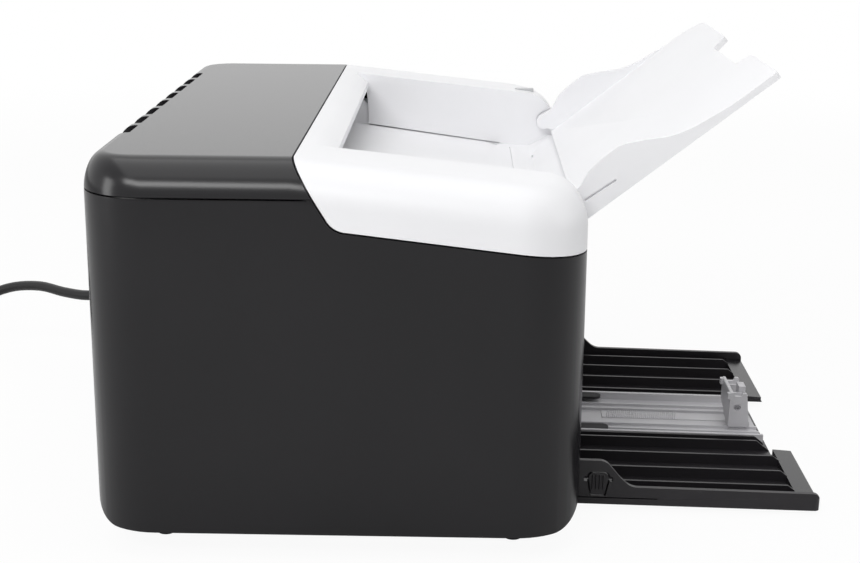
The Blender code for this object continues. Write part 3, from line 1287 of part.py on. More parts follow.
def build_drive():
    """Motor, its pinion and the drum gear, outside the far side frame."""
    face = FRAME_X + FRAME_THICKNESS + FIT_GAP
    pitch_drum = DRUM_TEETH * GEAR_MODULE / 2
    pitch_motor = MOTOR_TEETH * GEAR_MODULE / 2
    toward = Vector((MOTOR_Y - DRUM_Y, MOTOR_Z - DRUM_Z))
    aim = atan2(toward.y, toward.x)
    motor_y = FRONT_Y + DRUM_Y + (pitch_drum + pitch_motor) * cos(aim)
    motor_z = DRUM_Z + (pitch_drum + pitch_motor) * sin(aim)
    gear_start = face + GEAR_WIDTH / 2
    gear_end = gear_start + GEAR_WIDTH
    pivot = empty_at("drum_gear_axis", (0.0, FRONT_Y + DRUM_Y, DRUM_Z))
    outline = gear_outline(DRUM_TEETH, pitch_drum, aim)
    wheel = plate("X", [outline], gear_start, gear_end, "drum gear")
    boss = rod("X", (0.0, 0.0), SHAFT_RADIUS * 2, face, gear_end, 20, "gear boss")
    join(wheel, boss)
    part(settle(wheel), "drum_gear", "cream", pivot)
    pivot = empty_at("motor_pinion_axis", (0.0, motor_y, motor_z))
    outline = gear_outline(MOTOR_TEETH, pitch_motor, aim + pi + pi / MOTOR_TEETH)
    part(plate("X", [outline], gear_start, gear_end, "motor pinion"), "motor_pinion", "brass",
         pivot)
    motor = rod("X", (motor_y, motor_z), MOTOR_RADIUS, gear_end + FIT_GAP,
                gear_end + FIT_GAP + MOTOR_LENGTH, 32, "motor can")
    part(motor, "main_motor", "steel")


def build_electrics():
    """Main board outside the near side frame, power supply under it, and the USB socket."""
    face = -(FRAME_X + FRAME_THICKNESS + FIT_GAP)
    inner = face - BOARD_STAND
    board = block((inner - BOARD_THICKNESS, FRONT_Y + BOARD_FRONT, BOARD_BOTTOM),
                  (inner, FRONT_Y + BOARD_REAR, BOARD_TOP), "board")
    for y in (BOARD_FRONT + BOARD_STAND, BOARD_REAR - BOARD_STAND):
        for z in (BOARD_BOTTOM + BOARD_STAND, BOARD_TOP - BOARD_STAND):
            join(board, rod("X", (FRONT_Y + y, z), SHAFT_RADIUS, inner - BOARD_THICKNESS / 2,
                            face, 12, "stand-off"))
    smooth(settle(board))
    part(board, "main_board", "circuit_board")
    left, right = SOCKET_X - SOCKET_WIDTH / 2, SOCKET_X + SOCKET_WIDTH / 2
    low, high = SOCKET_HEIGHT - SOCKET_TALL / 2, SOCKET_HEIGHT + SOCKET_TALL / 2
    socket = block((left, REAR_Y - SOCKET_DEPTH, low), (right, REAR_Y, high), "socket shell")
    wall = SOCKET_WALL
    cut(socket, block((left + wall, REAR_Y - SOCKET_DEPTH + 2 * wall, low + wall),
                      (right - wall, REAR_Y + OVERRUN, high - wall), "socket mouth"))
    settle(socket)
    tongue = block(((left + right) / 2 - SOCKET_WIDTH / 5, REAR_Y - SOCKET_DEPTH + wall,
                    SOCKET_HEIGHT - 2 * wall),
                   ((left + right) / 2 + SOCKET_WIDTH / 5, REAR_Y - SOCKET_DEPTH / 2,
                    SOCKET_HEIGHT + 2 * wall), "socket tongue")
    join(socket, tongue)
    part(settle(socket), "usb_socket", "steel")


def smooth_route(route, spacing):
    """Evenly spaced points on a smooth curve through the route's points."""
    dense = []
    points = [Vector(point) for point in route]
    ends = [points[0] * 2 - points[1]] + points + [points[-1] * 2 - points[-2]]
    for before, start, end, after in zip(ends, ends[1:], ends[2:], ends[3:]):
        for step in range(16):
            t = step / 16
            dense.append(((start * 2) + (end - before) * t
                          + (before * 2 - start * 5 + end * 4 - after) * t ** 2
                          + (start * 3 - before - end * 3 + after) * t ** 3) / 2)
    dense.append(points[-1])
    lengths = [0.0]
    for first, second in zip(dense, dense[1:]):
        lengths.append(lengths[-1] + (second - first).length)
    count = max(2, round(lengths[-1] / spacing))
    even = []
    index = 0
    for number in range(count + 1):
        target = lengths[-1] * number / count
        while index < len(lengths) - 2 and lengths[index + 1] < target:
            index += 1
        share = (target - lengths[index]) / (lengths[index + 1] - lengths[index])
        even.append(dense[index].lerp(dense[index + 1], share))
    return even


def tube(name, points, radius, resolution):
    curve = bpy.data.curves.new(name, "CURVE")
    curve.dimensions = "3D"
    curve.bevel_depth = radius
    curve.bevel_resolution = resolution
    curve.use_fill_caps = True
    spline = curve.splines.new("POLY")
    spline.points.add(len(points) - 1)
    for slot, point in zip(spline.points, points):
        slot.co = (*point, 1.0)
    drawn = bpy.data.objects.new(name, curve)
    TOOLS.objects.link(drawn)
    graph = bpy.context.evaluated_depsgraph_get()
    mesh = bpy.data.meshes.new_from_object(drawn.evaluated_get(graph))
    bpy.data.objects.remove(drawn)
    bpy.data.curves.remove(curve)
    bm = bmesh.new()
    bm.from_mesh(mesh)
    bpy.data.meshes.remove(mesh)
    bmesh.ops.remove_doubles(bm, verts=bm.verts, dist=CORD_GAP / 30)
    made = add_object(name, mesh_from(name, bm))
    smooth(made)
    return made


def coil_point(turn):
    """Place on the coil after so many turns: in on the lower layer, out on the upper one."""
    middle = COIL_TURNS / 2
    radius = COIL_OUTER - COIL_STEP * (middle - abs(turn - middle))
    climb = min(1.0, max(0.0, (turn - middle) * 2 + 0.5))
    height = COIL_LIFT + COIL_LAYER * (3 * climb ** 2 - 2 * climb ** 3)
    angle = pi - 2 * pi * turn
    return Vector((COIL_X + radius * cos(angle), COIL_Y + radius * sin(angle), height))


def coil_points():
    """The coil's turns, with a straight run of one diameter at each end."""
    count = ceil(COIL_TURNS * COIL_POINTS)
    points = [coil_point(COIL_TURNS * index / count) for index in range(count + 1)]
    points.insert(0, points[0] - Vector((0.0, CORD_DIAMETER, 0.0)))
    points.append(points[-1] + Vector((CORD_DIAMETER, 0.0, 0.0)))
    return points


def coil_clearance(points):
    """Least gap between two stretches of the coil that aren't neighbours along it."""
    least = COIL_OUTER
    skip = COIL_POINTS // 2
    for index, first in enumerate(points):
        for second, third in zip(points[index + skip:], points[index + skip + 1:]):
            along = third - second
            share = max(0.0, min(1.0, (first - second).dot(along) / along.length_squared))
            least = min(least, (first - second - along * share).length - CORD_DIAMETER)
    return least


def build_cord():
    """Strain relief, free lead, coil with its tie, tail and two-pin plug."""
    radius = CORD_DIAMETER / 2
    profile = [(GLAND_RADIUS - FIT_GAP, -BOOT_INSIDE), (GLAND_RADIUS - FIT_GAP, 0.0)]
    for ring in range(BOOT_RINGS):
        for share, inset in ((0.1, 0.0), (0.55, 0.0), (0.6, 0.18), (1.0, 0.18)):
            along = (ring + share) / BOOT_RINGS
            wide = GLAND_RADIUS + (BOOT_TIP_RADIUS - GLAND_RADIUS) * along
            profile.append((wide - inset * (wide - radius), along * BOOT_LENGTH))
    profile = [(0.0, -BOOT_INSIDE)] + profile + [(0.0, BOOT_LENGTH)]
    boot = turned("boot", profile[::-1], (GLAND_X, REAR_Y, GLAND_HEIGHT))
    part(boot, "strain_relief", "rubber")

    lead = smooth_route(LEAD_ROUTE, CORD_SPACING)
    part(tube("lead", lead, radius, 2), "power_cord", "cord_jacket")
    points = coil_points()
    print(f"coil: least gap to itself {coil_clearance(points) * 1000:.2f} mm")
    part(tube("coil", points, radius, 1), "cord_coil", "cord_jacket")
    tail = smooth_route(TAIL_ROUTE, CORD_SPACING)
    part(tube("tail", tail, radius, 2), "cord_tail", "cord_jacket")
    length = sum((b - a).length for run in (lead, points, tail) for a, b in zip(run, run[1:]))
    print(f"lead: {length:.3f} m from the strain relief to the plug")
    build_tie()
    build_plug(tail[-1])


def turned(name, profile, place):
    """Turns (radius, along) points, listed from the tip down, about a line along Y."""
    edges = [(index, index + 1) for index in range(len(profile) - 1)]
    mesh = bpy.data.meshes.new(name)
    mesh.from_pydata([(wide, 0.0, along) for wide, along in profile], edges, [])
    made = add_object(name, mesh)
    screw = made.modifiers.new("turn", "SCREW")
    screw.axis = "Z"
    screw.steps = screw.render_steps = BOOT_SIDES
    screw.use_merge_vertices = True
    screw.merge_threshold = FIT_GAP / 10
    settle(made)
    made.data.transform(Matrix.Translation(place) @ Matrix.Rotation(-pi / 2, 4, "X"))
    smooth(made)
    return made


def build_tie():
    """Flat tie wrapped round all the turns of the coil at one place."""
    turns = COIL_TURNS / 2
    radius = CORD_DIAMETER / 2
    inner = COIL_OUTER - COIL_STEP * turns - radius - TIE_GAP - COIL_STEP / 2
    outer = COIL_OUTER + radius + TIE_GAP
    high = COIL_LIFT + COIL_LAYER + radius + TIE_GAP
    edge = TIE_THICKNESS
    hole = rectangle(inner, outer, TIE_THICKNESS, high, edge, 3)
    around = rectangle(inner - edge, outer + edge, 0.0, high + edge, 2 * edge, 4)
    band = plate("Y", [around, hole], -TIE_WIDTH / 2, TIE_WIDTH / 2, "tie")
    turn = Matrix.Translation((COIL_X, COIL_Y, 0.0)) @ Matrix.Rotation(TIE_TURN, 4, "Z")
    band.data.transform(turn)
    part(band, "cord_tie", "rubber")


def build_plug(end):
    """Two-pin plug lying on the table at the end of the lead."""
    half = PLUG_WIDTH / 2
    neck = end.x + CORD_GAP
    rear = neck + PLUG_NECK_LENGTH
    front = rear + PLUG_LENGTH
    slope = PLUG_NECK / 2
    outline = fillet([(neck, end.y - PLUG_NECK, 0), (rear, end.y - PLUG_NECK, slope),
                      (rear + PLUG_NECK, end.y - half, slope), (front, end.y - half, 0),
                      (front, end.y + half, 0), (rear + PLUG_NECK, end.y + half, slope),
                      (rear, end.y + PLUG_NECK, slope), (neck, end.y + PLUG_NECK, 0)], 4)
    middle = PLUG_HEIGHT / 2
    body = plate("Z", [outline], 0.0, PLUG_HEIGHT, "plug")
    soften(body, PLUG_NECK / 4)
    settle(body)
    spacing = PIN_SPACING / 2
    seat = 2 * PIN_RADIUS
    for side in (-1, 1):
        cut(body, rod("X", (end.y + side * spacing, middle), PIN_RADIUS + FIT_GAP, front - seat,
                      front + OVERRUN, 12, "pin seat"))
    part(settle(body), "plug_body", "black")
    for side, name in ((-1, "plug_pin_near"), (1, "plug_pin_far")):
        pin = rod("X", (end.y + side * spacing, middle), PIN_RADIUS, front - seat + FIT_GAP,
                  front + PIN_LENGTH, 16, name)
        part(pin, name, "brass")


def build_printer():
    build_housing()
    build_top_cover()
    build_output_cover()
    build_flap()
    tray_pivot = empty_at("tray_pivot", (0.0, TRAY_HINGE_Y, TRAY_HINGE_HEIGHT), TRAY_DROOP)
    build_tray(tray_pivot)
    build_latches(tray_pivot)
    build_channel(tray_pivot)
    build_end_guide(tray_pivot)
    build_base_pan()
    build_feet()
    build_power_button()
    build_paper_bed()
    build_side_guides()
    build_rollers()
    build_side_frames()
    build_imaging()
    build_drive()
    build_electrics()
    build_cord()


build_printer()
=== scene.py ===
from math import atan2, cos, hypot, pi, radians, sin, tan

import bmesh
import bpy
from mathutils import Matrix, Vector


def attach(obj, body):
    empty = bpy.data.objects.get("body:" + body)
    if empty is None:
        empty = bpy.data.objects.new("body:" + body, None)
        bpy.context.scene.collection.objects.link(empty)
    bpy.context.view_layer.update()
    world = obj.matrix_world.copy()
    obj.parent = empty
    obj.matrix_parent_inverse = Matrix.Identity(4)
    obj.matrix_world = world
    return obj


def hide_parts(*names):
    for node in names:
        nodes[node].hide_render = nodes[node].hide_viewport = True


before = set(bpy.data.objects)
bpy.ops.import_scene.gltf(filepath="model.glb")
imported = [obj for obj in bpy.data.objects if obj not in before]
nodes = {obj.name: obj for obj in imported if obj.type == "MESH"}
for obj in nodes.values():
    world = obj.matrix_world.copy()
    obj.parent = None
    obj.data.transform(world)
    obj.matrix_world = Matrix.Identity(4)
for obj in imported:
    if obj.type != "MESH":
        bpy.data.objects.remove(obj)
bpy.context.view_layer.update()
mm = 0.001


# Camera: the place and lens that line the body's edges up with the picture
camera = {
    "place": (-0.79723, 0.00462, 0.29791),
    "right": (0.02197, -0.99973, 0.00721),
    "up": (0.26056, 0.01269, 0.96537),
    "lens": 64.95,
    "sensor": 36.0,
    "clip": (0.02, 30.0),
}


def newObject(name, data):
    made = bpy.data.objects.new(name, data)
    bpy.context.scene.collection.objects.link(made)
    return made


def makeCamera(spec):
    lens = bpy.data.cameras.new("studioCamera")
    lens.lens = spec["lens"]
    lens.sensor_width = spec["sensor"]
    lens.sensor_fit = "HORIZONTAL"
    lens.clip_start, lens.clip_end = spec["clip"]
    right = Vector(spec["right"]).normalized()
    up = Vector(spec["up"])
    up = (up - right * up.dot(right)).normalized()
    back = right.cross(up)
    turn = Matrix((right, up, back)).transposed().to_4x4()
    made = newObject("studioCamera", lens)
    made.matrix_world = Matrix.Translation(Vector(spec["place"])) @ turn
    bpy.context.scene.camera = made


makeCamera(camera)
print("camera set")


# Mesh helpers
def coat(made, *materials):
    made.data.materials.clear()
    for material in materials:
        made.data.materials.append(material)


def addMesh(name, bm, material):
    bmesh.ops.recalc_face_normals(bm, faces=bm.faces)
    mesh = bpy.data.meshes.new(name)
    bm.to_mesh(mesh)
    bm.free()
    made = newObject(name, mesh)
    coat(made, material)
    return made


weldReach = 0.005 * mm


def cleaned(made):
    # the object's mesh for editing: doubled points merged, coplanar faces joined
    bm = bmesh.new()
    bm.from_mesh(made.data)
    bmesh.ops.remove_doubles(bm, verts=bm.verts, dist=weldReach)
    bmesh.ops.dissolve_limit(bm, angle_limit=radians(0.2), verts=bm.verts, edges=bm.edges)
    return bm


def bridged(bm, levels):
    # four-sided faces between closed rings of points, from each ring to the next
    count = len(levels[0])
    for lower, upper in zip(levels, levels[1:]):
        for index in range(count):
            after = (index + 1) % count
            bm.faces.new((lower[index], lower[after], upper[after], upper[index]))
    bm.faces.new(list(reversed(levels[0])))


def finished(made):
    # the modifiers' result becomes the mesh
    graph = bpy.context.evaluated_depsgraph_get()
    mesh = bpy.data.meshes.new_from_object(made.evaluated_get(graph))
    made.modifiers.clear()
    made.data = mesh
    return made


def smoothBy(made, degrees=35):
    made.data.shade_smooth()
    made.data.set_sharp_from_angle(angle=radians(degrees))
    return made


# Materials
def linear(code):
    # "#rrggbb" in sRGB to linear light
    parts = [int(code[i:i + 2], 16) / 255 for i in (1, 3, 5)]
    straight = [p / 12.92 if p <= 0.04045 else ((p + 0.055) / 1.055) ** 2.4 for p in parts]
    return (*straight, 1.0)


def setInputs(tree, node, links):
    # {socket: value or another node's output}
    for key, value in links.items():
        if isinstance(value, bpy.types.NodeSocket):
            tree.links.new(value, node.inputs[key])
        else:
            node.inputs[key].default_value = value


def addNode(tree, kind, settings=None, links=None):
    # one node with its settings by name and what its sockets get
    node = tree.nodes.new(kind)
    for key, value in (settings or {}).items():
        setattr(node, key, value)
    setInputs(tree, node, links or {})
    return node


def newMaterial(name):
    material = bpy.data.materials.new(name)
    material.use_nodes = True
    tree = material.node_tree
    shader = tree.nodes["Principled BSDF"]
    place = addNode(tree, "ShaderNodeTexCoord").outputs["Object"]
    return material, tree, shader, place


def mouldedPlastic(name, spec):
    # tones drift a little over a moulding, and the skin has a fine spark-eroded grain
    material, tree, shader, place = newMaterial(name)
    drift = addNode(tree, "ShaderNodeTexNoise", None,
                    {"Vector": place, "Scale": 1 / (spec["driftSize"] * mm), "Detail": 3.0})
    ramp = addNode(tree, "ShaderNodeValToRGB", None, {"Fac": drift.outputs["Fac"]})
    ramp.color_ramp.elements[0].position = 0.3
    ramp.color_ramp.elements[0].color = linear(spec["dark"])
    ramp.color_ramp.elements[1].position = 0.7
    ramp.color_ramp.elements[1].color = linear(spec["light"])
    grain = addNode(tree, "ShaderNodeTexNoise", None,
                    {"Vector": place, "Scale": 1 / (spec["grainSize"] * mm), "Detail": 4.0,
                     "Roughness": 0.6})
    low, high = spec["roughness"]
    gloss = addNode(tree, "ShaderNodeMapRange", None,
                    {"Value": grain.outputs["Fac"], "From Min": 0.3, "From Max": 0.7,
                     "To Min": low, "To Max": high})
    bump = addNode(tree, "ShaderNodeBump", None,
                   {"Height": grain.outputs["Fac"], "Strength": spec["bump"],
                    "Distance": spec["grainDepth"] * mm})
    coatWeight, coatRoughness = spec.get("coat", (0.0, 0.03))
    setInputs(tree, shader, {
        "Base Color": ramp.outputs["Color"], "Roughness": gloss.outputs["Result"],
        "Normal": bump.outputs["Normal"], "IOR": spec["ior"],
        "Specular IOR Level": spec.get("shine", 0.5), "Coat Weight": coatWeight,
        "Coat Roughness": coatRoughness})
    return material


def metal(name, spec):
    # rolled or drawn metal: fine streaks along one direction break up the reflections
    material, tree, shader, place = newMaterial(name)
    stretch = addNode(tree, "ShaderNodeMapping", None, {"Vector": place, "Scale": spec["stretch"]})
    streaks = addNode(tree, "ShaderNodeTexNoise", None,
                      {"Vector": stretch.outputs["Vector"], "Scale": 1 / (spec["streak"] * mm),
                       "Detail": 3.0})
    low, high = spec["roughness"]
    gloss = addNode(tree, "ShaderNodeMapRange", None,
                    {"Value": streaks.outputs["Fac"], "From Min": 0.3, "From Max": 0.7,
                     "To Min": low, "To Max": high})
    tone = addNode(tree, "ShaderNodeMixRGB", None,
                   {"Fac": streaks.outputs["Fac"], "Color1": linear(spec["dark"]),
                    "Color2": linear(spec["light"])})
    bump = addNode(tree, "ShaderNodeBump", None,
                   {"Height": streaks.outputs["Fac"], "Strength": 0.15, "Distance": 0.02 * mm})
    setInputs(tree, shader, {
        "Base Color": tone.outputs["Color"], "Roughness": gloss.outputs["Result"],
        "Normal": bump.outputs["Normal"], "Metallic": 1.0})
    return material


# ABS, moulded in charcoal with an eroded satin skin: dark, with broad soft highlights
absCharcoal = mouldedPlastic("charcoalAbs", {
    "dark": "#0e0d10", "light": "#121114", "driftSize": 60, "grainSize": 0.9,
    "grainDepth": 0.008, "bump": 0.1, "roughness": (0.2, 0.24), "ior": 1.53,
    "shine": 0.3})
# ABS, moulded in white with a near smooth satin skin: bright and clean
absWhite = mouldedPlastic("whiteAbs", {
    "dark": "#efeff1", "light": "#f2f2f4", "driftSize": 70, "grainSize": 0.8,
    "grainDepth": 0.02, "bump": 0.25, "roughness": (0.36, 0.44), "ior": 1.53})
# Polycarbonate of the power key, moulded: pale grey, a little glossier than the cover
keyGrey = mouldedPlastic("paleKeyPolycarbonate", {
    "dark": "#bfc0c2", "light": "#c7c8ca", "driftSize": 20, "grainSize": 0.8,
    "grainDepth": 0.01, "bump": 0.2, "roughness": (0.3, 0.38), "ior": 1.58})
# ABS in black, with a coarser eroded skin than the housing: black, a little greyed by sheen
absBlack = mouldedPlastic("blackAbs", {
    "dark": "#1b191c", "light": "#201e21", "driftSize": 40, "grainSize": 0.8,
    "grainDepth": 0.02, "bump": 0.3, "roughness": (0.36, 0.46), "ior": 1.53,
    "shine": 0.34})
# Acetal for sliding pieces, moulded: waxy pale grey with a soft gloss
acetalGrey = mouldedPlastic("greyAcetal", {
    "dark": "#c9c8cb", "light": "#d0cfd2", "driftSize": 30, "grainSize": 1.2,
    "grainDepth": 0.015, "bump": 0.2, "roughness": (0.34, 0.42), "ior": 1.48})
# Acetal in natural cream for gears: waxy, slightly yellow
acetalCream = mouldedPlastic("creamAcetal", {
    "dark": "#d8d2c0", "light": "#e0dac9", "driftSize": 20, "grainSize": 1.0,
    "grainDepth": 0.015, "bump": 0.2, "roughness": (0.32, 0.40), "ior": 1.48})
# EPDM rubber of the feet, the cord's fittings and the tray's two tabs: dead matt
rubberBlack = mouldedPlastic("blackRubber", {
    "dark": "#1b1b1c", "light": "#242426", "driftSize": 12, "grainSize": 0.6,
    "grainDepth": 0.05, "bump": 0.6, "roughness": (0.75, 0.9), "ior": 1.52})
# Foam rubber of the rollers that grip the paper: open grey pores
foamGrey = mouldedPlastic("greyFoamRubber", {
    "dark": "#5b5b5e", "light": "#67676a", "driftSize": 8, "grainSize": 0.5,
    "grainDepth": 0.09, "bump": 0.9, "roughness": (0.85, 0.95), "ior": 1.5})
# Cork and rubber sheet of the separation pad: brown with crumbs
corkPad = mouldedPlastic("corkRubber", {
    "dark": "#6d4a2c", "light": "#9a7448", "driftSize": 1.6, "grainSize": 0.7,
    "grainDepth": 0.1, "bump": 0.8, "roughness": (0.82, 0.95), "ior": 1.5})
# PFA sleeve of the heat and pressure rollers: glossy dark red-brown film
sleeveBrown = mouldedPlastic("pfaSleeve", {
    "dark": "#6b2c1c", "light": "#743221", "driftSize": 30, "grainSize": 2.0,
    "grainDepth": 0.01, "bump": 0.1, "roughness": (0.2, 0.28), "ior": 1.35})
# Organic photoconductor on the drum: glossy green-blue film
drumCoat = mouldedPlastic("photoconductorFilm", {
    "dark": "#2f8f82", "light": "#33998b", "driftSize": 50, "grainSize": 3.0,
    "grainDepth": 0.01, "bump": 0.05, "roughness": (0.1, 0.16), "ior": 1.6,
    "coat": (0.6, 0.06)})
# Glass fibre laminate under green solder mask: satin green with a faint weave
boardGreen = mouldedPlastic("solderMask", {
    "dark": "#1f6b38", "light": "#28763f", "driftSize": 1.0, "grainSize": 0.5,
    "grainDepth": 0.02, "bump": 0.3, "roughness": (0.3, 0.4), "ior": 1.55})
# PVC jacket of the mains lead, extruded: near black, soft satin, faint drag lines
pvcBlack = mouldedPlastic("blackPvc", {
    "dark": "#0e0e0f", "light": "#131314", "driftSize": 25, "grainSize": 0.7,
    "grainDepth": 0.04, "bump": 0.3, "roughness": (0.36, 0.46), "ior": 1.53,
    "shine": 0.25})
# Zinc-plated sheet steel of the frames and motor: cool grey with rolling streaks
zincSheet = metal("zincPlatedSteel", {
    "dark": "#a9adb0", "light": "#c3c7ca", "stretch": (1.0, 0.15, 1.0), "streak": 0.8,
    "roughness": (0.32, 0.46)})
# Ground steel of the socket's shell: bright with fine streaks
groundSteel = metal("groundSteel", {
    "dark": "#b8b8ba", "light": "#d2d2d4", "stretch": (1.0, 0.2, 0.2), "streak": 0.5,
    "roughness": (0.2, 0.3)})
# Brass of the plug's pins and the motor's pinion: warm yellow, drawn lengthwise
drawnBrass = metal("drawnBrass", {
    "dark": "#c9a45c", "light": "#d9b872", "stretch": (0.2, 1.0, 1.0), "streak": 0.4,
    "roughness": (0.22, 0.34)})
print("materials made")


# Mains lead: its route as the CAD lays it, from the strain relief to the plug
lead = {
    "diameter": 5.8 * mm,
    "jacketSides": 6,
    "spacing": 6 * mm,
    "perTurn": 48,
    "exit": (0.0600, 0.1928, 0.0580),
    "free": ((0.0600, 0.1928, 0.0580), (0.0600, 0.1990, 0.0580), (0.0600, 0.2055, 0.0580),
             (0.0670, 0.2205, 0.0535), (0.0805, 0.2380, 0.0515), (0.0970, 0.2575, 0.0505),
             (0.1120, 0.2800, 0.0450), (0.1215, 0.3020, 0.0340), (0.1240, 0.3190, 0.0190),
             (0.1240, 0.3350, 0.0080), (0.1240, 0.3480, 0.0041), (0.1240, 0.3559, 0.0040)),
    "tail": ((0.1741, 0.4060, 0.0105), (0.1810, 0.4060, 0.0105), (0.1960, 0.4045, 0.0092),
             (0.2140, 0.4000, 0.0070), (0.2320, 0.3960, 0.0065), (0.2460, 0.3950, 0.0065),
             (0.2530, 0.3950, 0.0065)),
    "coilCentre": (0.168, 0.362),
    "coilOuter": 44 * mm,
    "coilStep": 6.5 * mm,
    "coilLayer": 6.5 * mm,
    "coilLift": 4.0 * mm,
    "coilTurns": 7.25,
}


def evenRoute(route, spacing):
    # evenly spaced points on a smooth curve through the route's points
    points = [Vector(point) for point in route]
    ends = [points[0] * 2 - points[1]] + points + [points[-1] * 2 - points[-2]]
    dense = []
    for before, start, end, after in zip(ends, ends[1:], ends[2:], ends[3:]):
        for step in range(16):
            t = step / 16
            dense.append(((start * 2) + (end - before) * t
                          + (before * 2 - start * 5 + end * 4 - after) * t ** 2
                          + (start * 3 - before - end * 3 + after) * t ** 3) / 2)
    dense.append(points[-1])
    lengths = [0.0]
    for first, second in zip(dense, dense[1:]):
        lengths.append(lengths[-1] + (second - first).length)
    count = max(2, round(lengths[-1] / spacing))
    even, index = [], 0
    for number in range(count + 1):
        target = lengths[-1] * number / count
        while index < len(lengths) - 2 and lengths[index + 1] < target:
            index += 1
        share = (target - lengths[index]) / (lengths[index + 1] - lengths[index])
        even.append(dense[index].lerp(dense[index + 1], share))
    return even


def coilPoints(spec):
    # in on the lower layer, out on the upper one
    centre = Vector((*spec["coilCentre"], 0.0))
    middle = spec["coilTurns"] / 2
    count = round(spec["coilTurns"] * spec["perTurn"])
    points = []
    for index in range(count + 1):
        turn = spec["coilTurns"] * index / count
        radius = spec["coilOuter"] - spec["coilStep"] * (middle - abs(turn - middle))
        climb = min(1.0, max(0.0, (turn - middle) * 2 + 0.5))
        height = spec["coilLift"] + spec["coilLayer"] * (3 * climb ** 2 - 2 * climb ** 3)
        angle = pi - 2 * pi * turn
        points.append(centre + Vector((radius * cos(angle), radius * sin(angle), height)))
    return points


def makeLead(spec):
    points = evenRoute(spec["free"], spec["spacing"]) + coilPoints(spec)
    points += evenRoute(spec["tail"], spec["spacing"])
    curve = bpy.data.curves.new("mainsLead", "CURVE")
    curve.dimensions = "3D"
    curve.bevel_depth = spec["diameter"] / 2
    curve.bevel_resolution = spec["jacketSides"]
    curve.use_fill_caps = True
    spline = curve.splines.new("POLY")
    spline.points.add(len(points) - 1)
    for slot, point in zip(spline.points, points):
        slot.co = (*point, 1.0)
    spline.use_smooth = True
    made = newObject("mainsLead", curve)
    coat(made, pvcBlack)
    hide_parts("power_cord", "cord_coil", "cord_tail")
    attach(made, "body")


makeLead(lead)


# Solid helpers: pushed-out outlines, round bars, cuts and joins
def inMm(*corners):
    return [tuple(value * mm for value in corner) for corner in corners]


def onSide(side, inner, outer):
    # a span given from the middle outwards, as low and high x on the near (-1) or far (1) side
    return sorted((side * inner, side * outer))


def fillet(corners, steps=8):
    # corners of an outline as (across, up, radius)
    points = []
    count = len(corners)
    for index, (across, up, radius) in enumerate(corners):
        here = Vector((across, up))
        if radius == 0:
            points.append((across, up))
            continue
        before = Vector(corners[index - 1][:2]) - here
        after = Vector(corners[(index + 1) % count][:2]) - here
        half = before.angle(after) / 2
        reach = radius / tan(half)
        bisector = (before.normalized() + after.normalized()).normalized()
        centre = here + bisector * (radius / sin(half))
        first = here + before.normalized() * reach - centre
        last = here + after.normalized() * reach - centre
        start = atan2(first.y, first.x)
        sweep = (atan2(last.y, last.x) - start + pi) % (2 * pi) - pi
        for step in range(steps + 1):
            angle = start + sweep * step / steps
            points.append((centre.x + radius * cos(angle), centre.y + radius * sin(angle)))
    return points


def roundRectangle(lowA, highA, lowB, highB, radius, steps=8):
    corners = [(lowA, lowB), (highA, lowB), (highA, highB), (lowA, highB)]
    return fillet([(a, b, radius) for a, b in corners], steps)


def circle(across, up, radius, sides=32):
    turns = [2 * pi * side / sides for side in range(sides)]
    return [(across + radius * cos(turn), up + radius * sin(turn)) for turn in turns]


axisTurns = {
    "X": Matrix(((0, 0, 1), (1, 0, 0), (0, 1, 0))).to_4x4(),
    "Y": Matrix(((1, 0, 0), (0, 0, -1), (0, 1, 0))).to_4x4(),
    "Z": Matrix.Identity(4),
}
axisDirections = {"X": Vector((1, 0, 0)), "Y": Vector((0, 1, 0)), "Z": Vector((0, 0, 1))}


def pushedOut(axis, outlines, start, end, name="plate"):
    # outlines are (y, z), (x, z) or (x, y) points for axes X, Y and Z
    curve = bpy.data.curves.new(name, "CURVE")
    curve.dimensions = "2D"
    curve.fill_mode = "BOTH"
    curve.extrude = abs(end - start) / 2
    for outline in outlines:
        spline = curve.splines.new("POLY")
        spline.points.add(len(outline) - 1)
        for point, (across, up) in zip(spline.points, outline):
            point.co = (across, up, 0.0, 1.0)
        spline.use_cyclic_u = True
    drawn = newObject(name, curve)
    graph = bpy.context.evaluated_depsgraph_get()
    mesh = bpy.data.meshes.new_from_object(drawn.evaluated_get(graph))
    bpy.data.objects.remove(drawn)
    bm = bmesh.new()
    bm.from_mesh(mesh)
    bpy.data.meshes.remove(mesh)
    bmesh.ops.remove_doubles(bm, verts=bm.verts, dist=2 * weldReach)
    move = Matrix.Translation(axisDirections[axis] * (start + end) / 2)
    bmesh.ops.transform(bm, matrix=move @ axisTurns[axis], verts=bm.verts)
    return addMesh(name, bm, absBlack)


def bar(axis, centre, radius, start, end, sides=32, name="bar"):
    return pushedOut(axis, [circle(*centre, radius, sides)], start, end, name)


def block(low, high, name="block"):
    bm = bmesh.new()
    bmesh.ops.create_cube(bm, size=1.0)
    low, high = Vector(low), Vector(high)
    bmesh.ops.scale(bm, vec=high - low, verts=bm.verts)
    bmesh.ops.translate(bm, vec=(high + low) / 2, verts=bm.verts)
    return addMesh(name, bm, absBlack)


def boolean(body, tools, operation):
    for tool in tools:
        step = body.modifiers.new(operation.lower(), "BOOLEAN")
        step.operation = operation
        step.object = tool
    finished(body)
    for tool in tools:
        bpy.data.objects.remove(tool)
    return body


def cut(body, *tools):
    return boolean(body, tools, "DIFFERENCE")


def join(body, *tools):
    return boolean(body, tools, "UNION")


def keep(body, *tools):
    return boolean(body, tools, "INTERSECT")


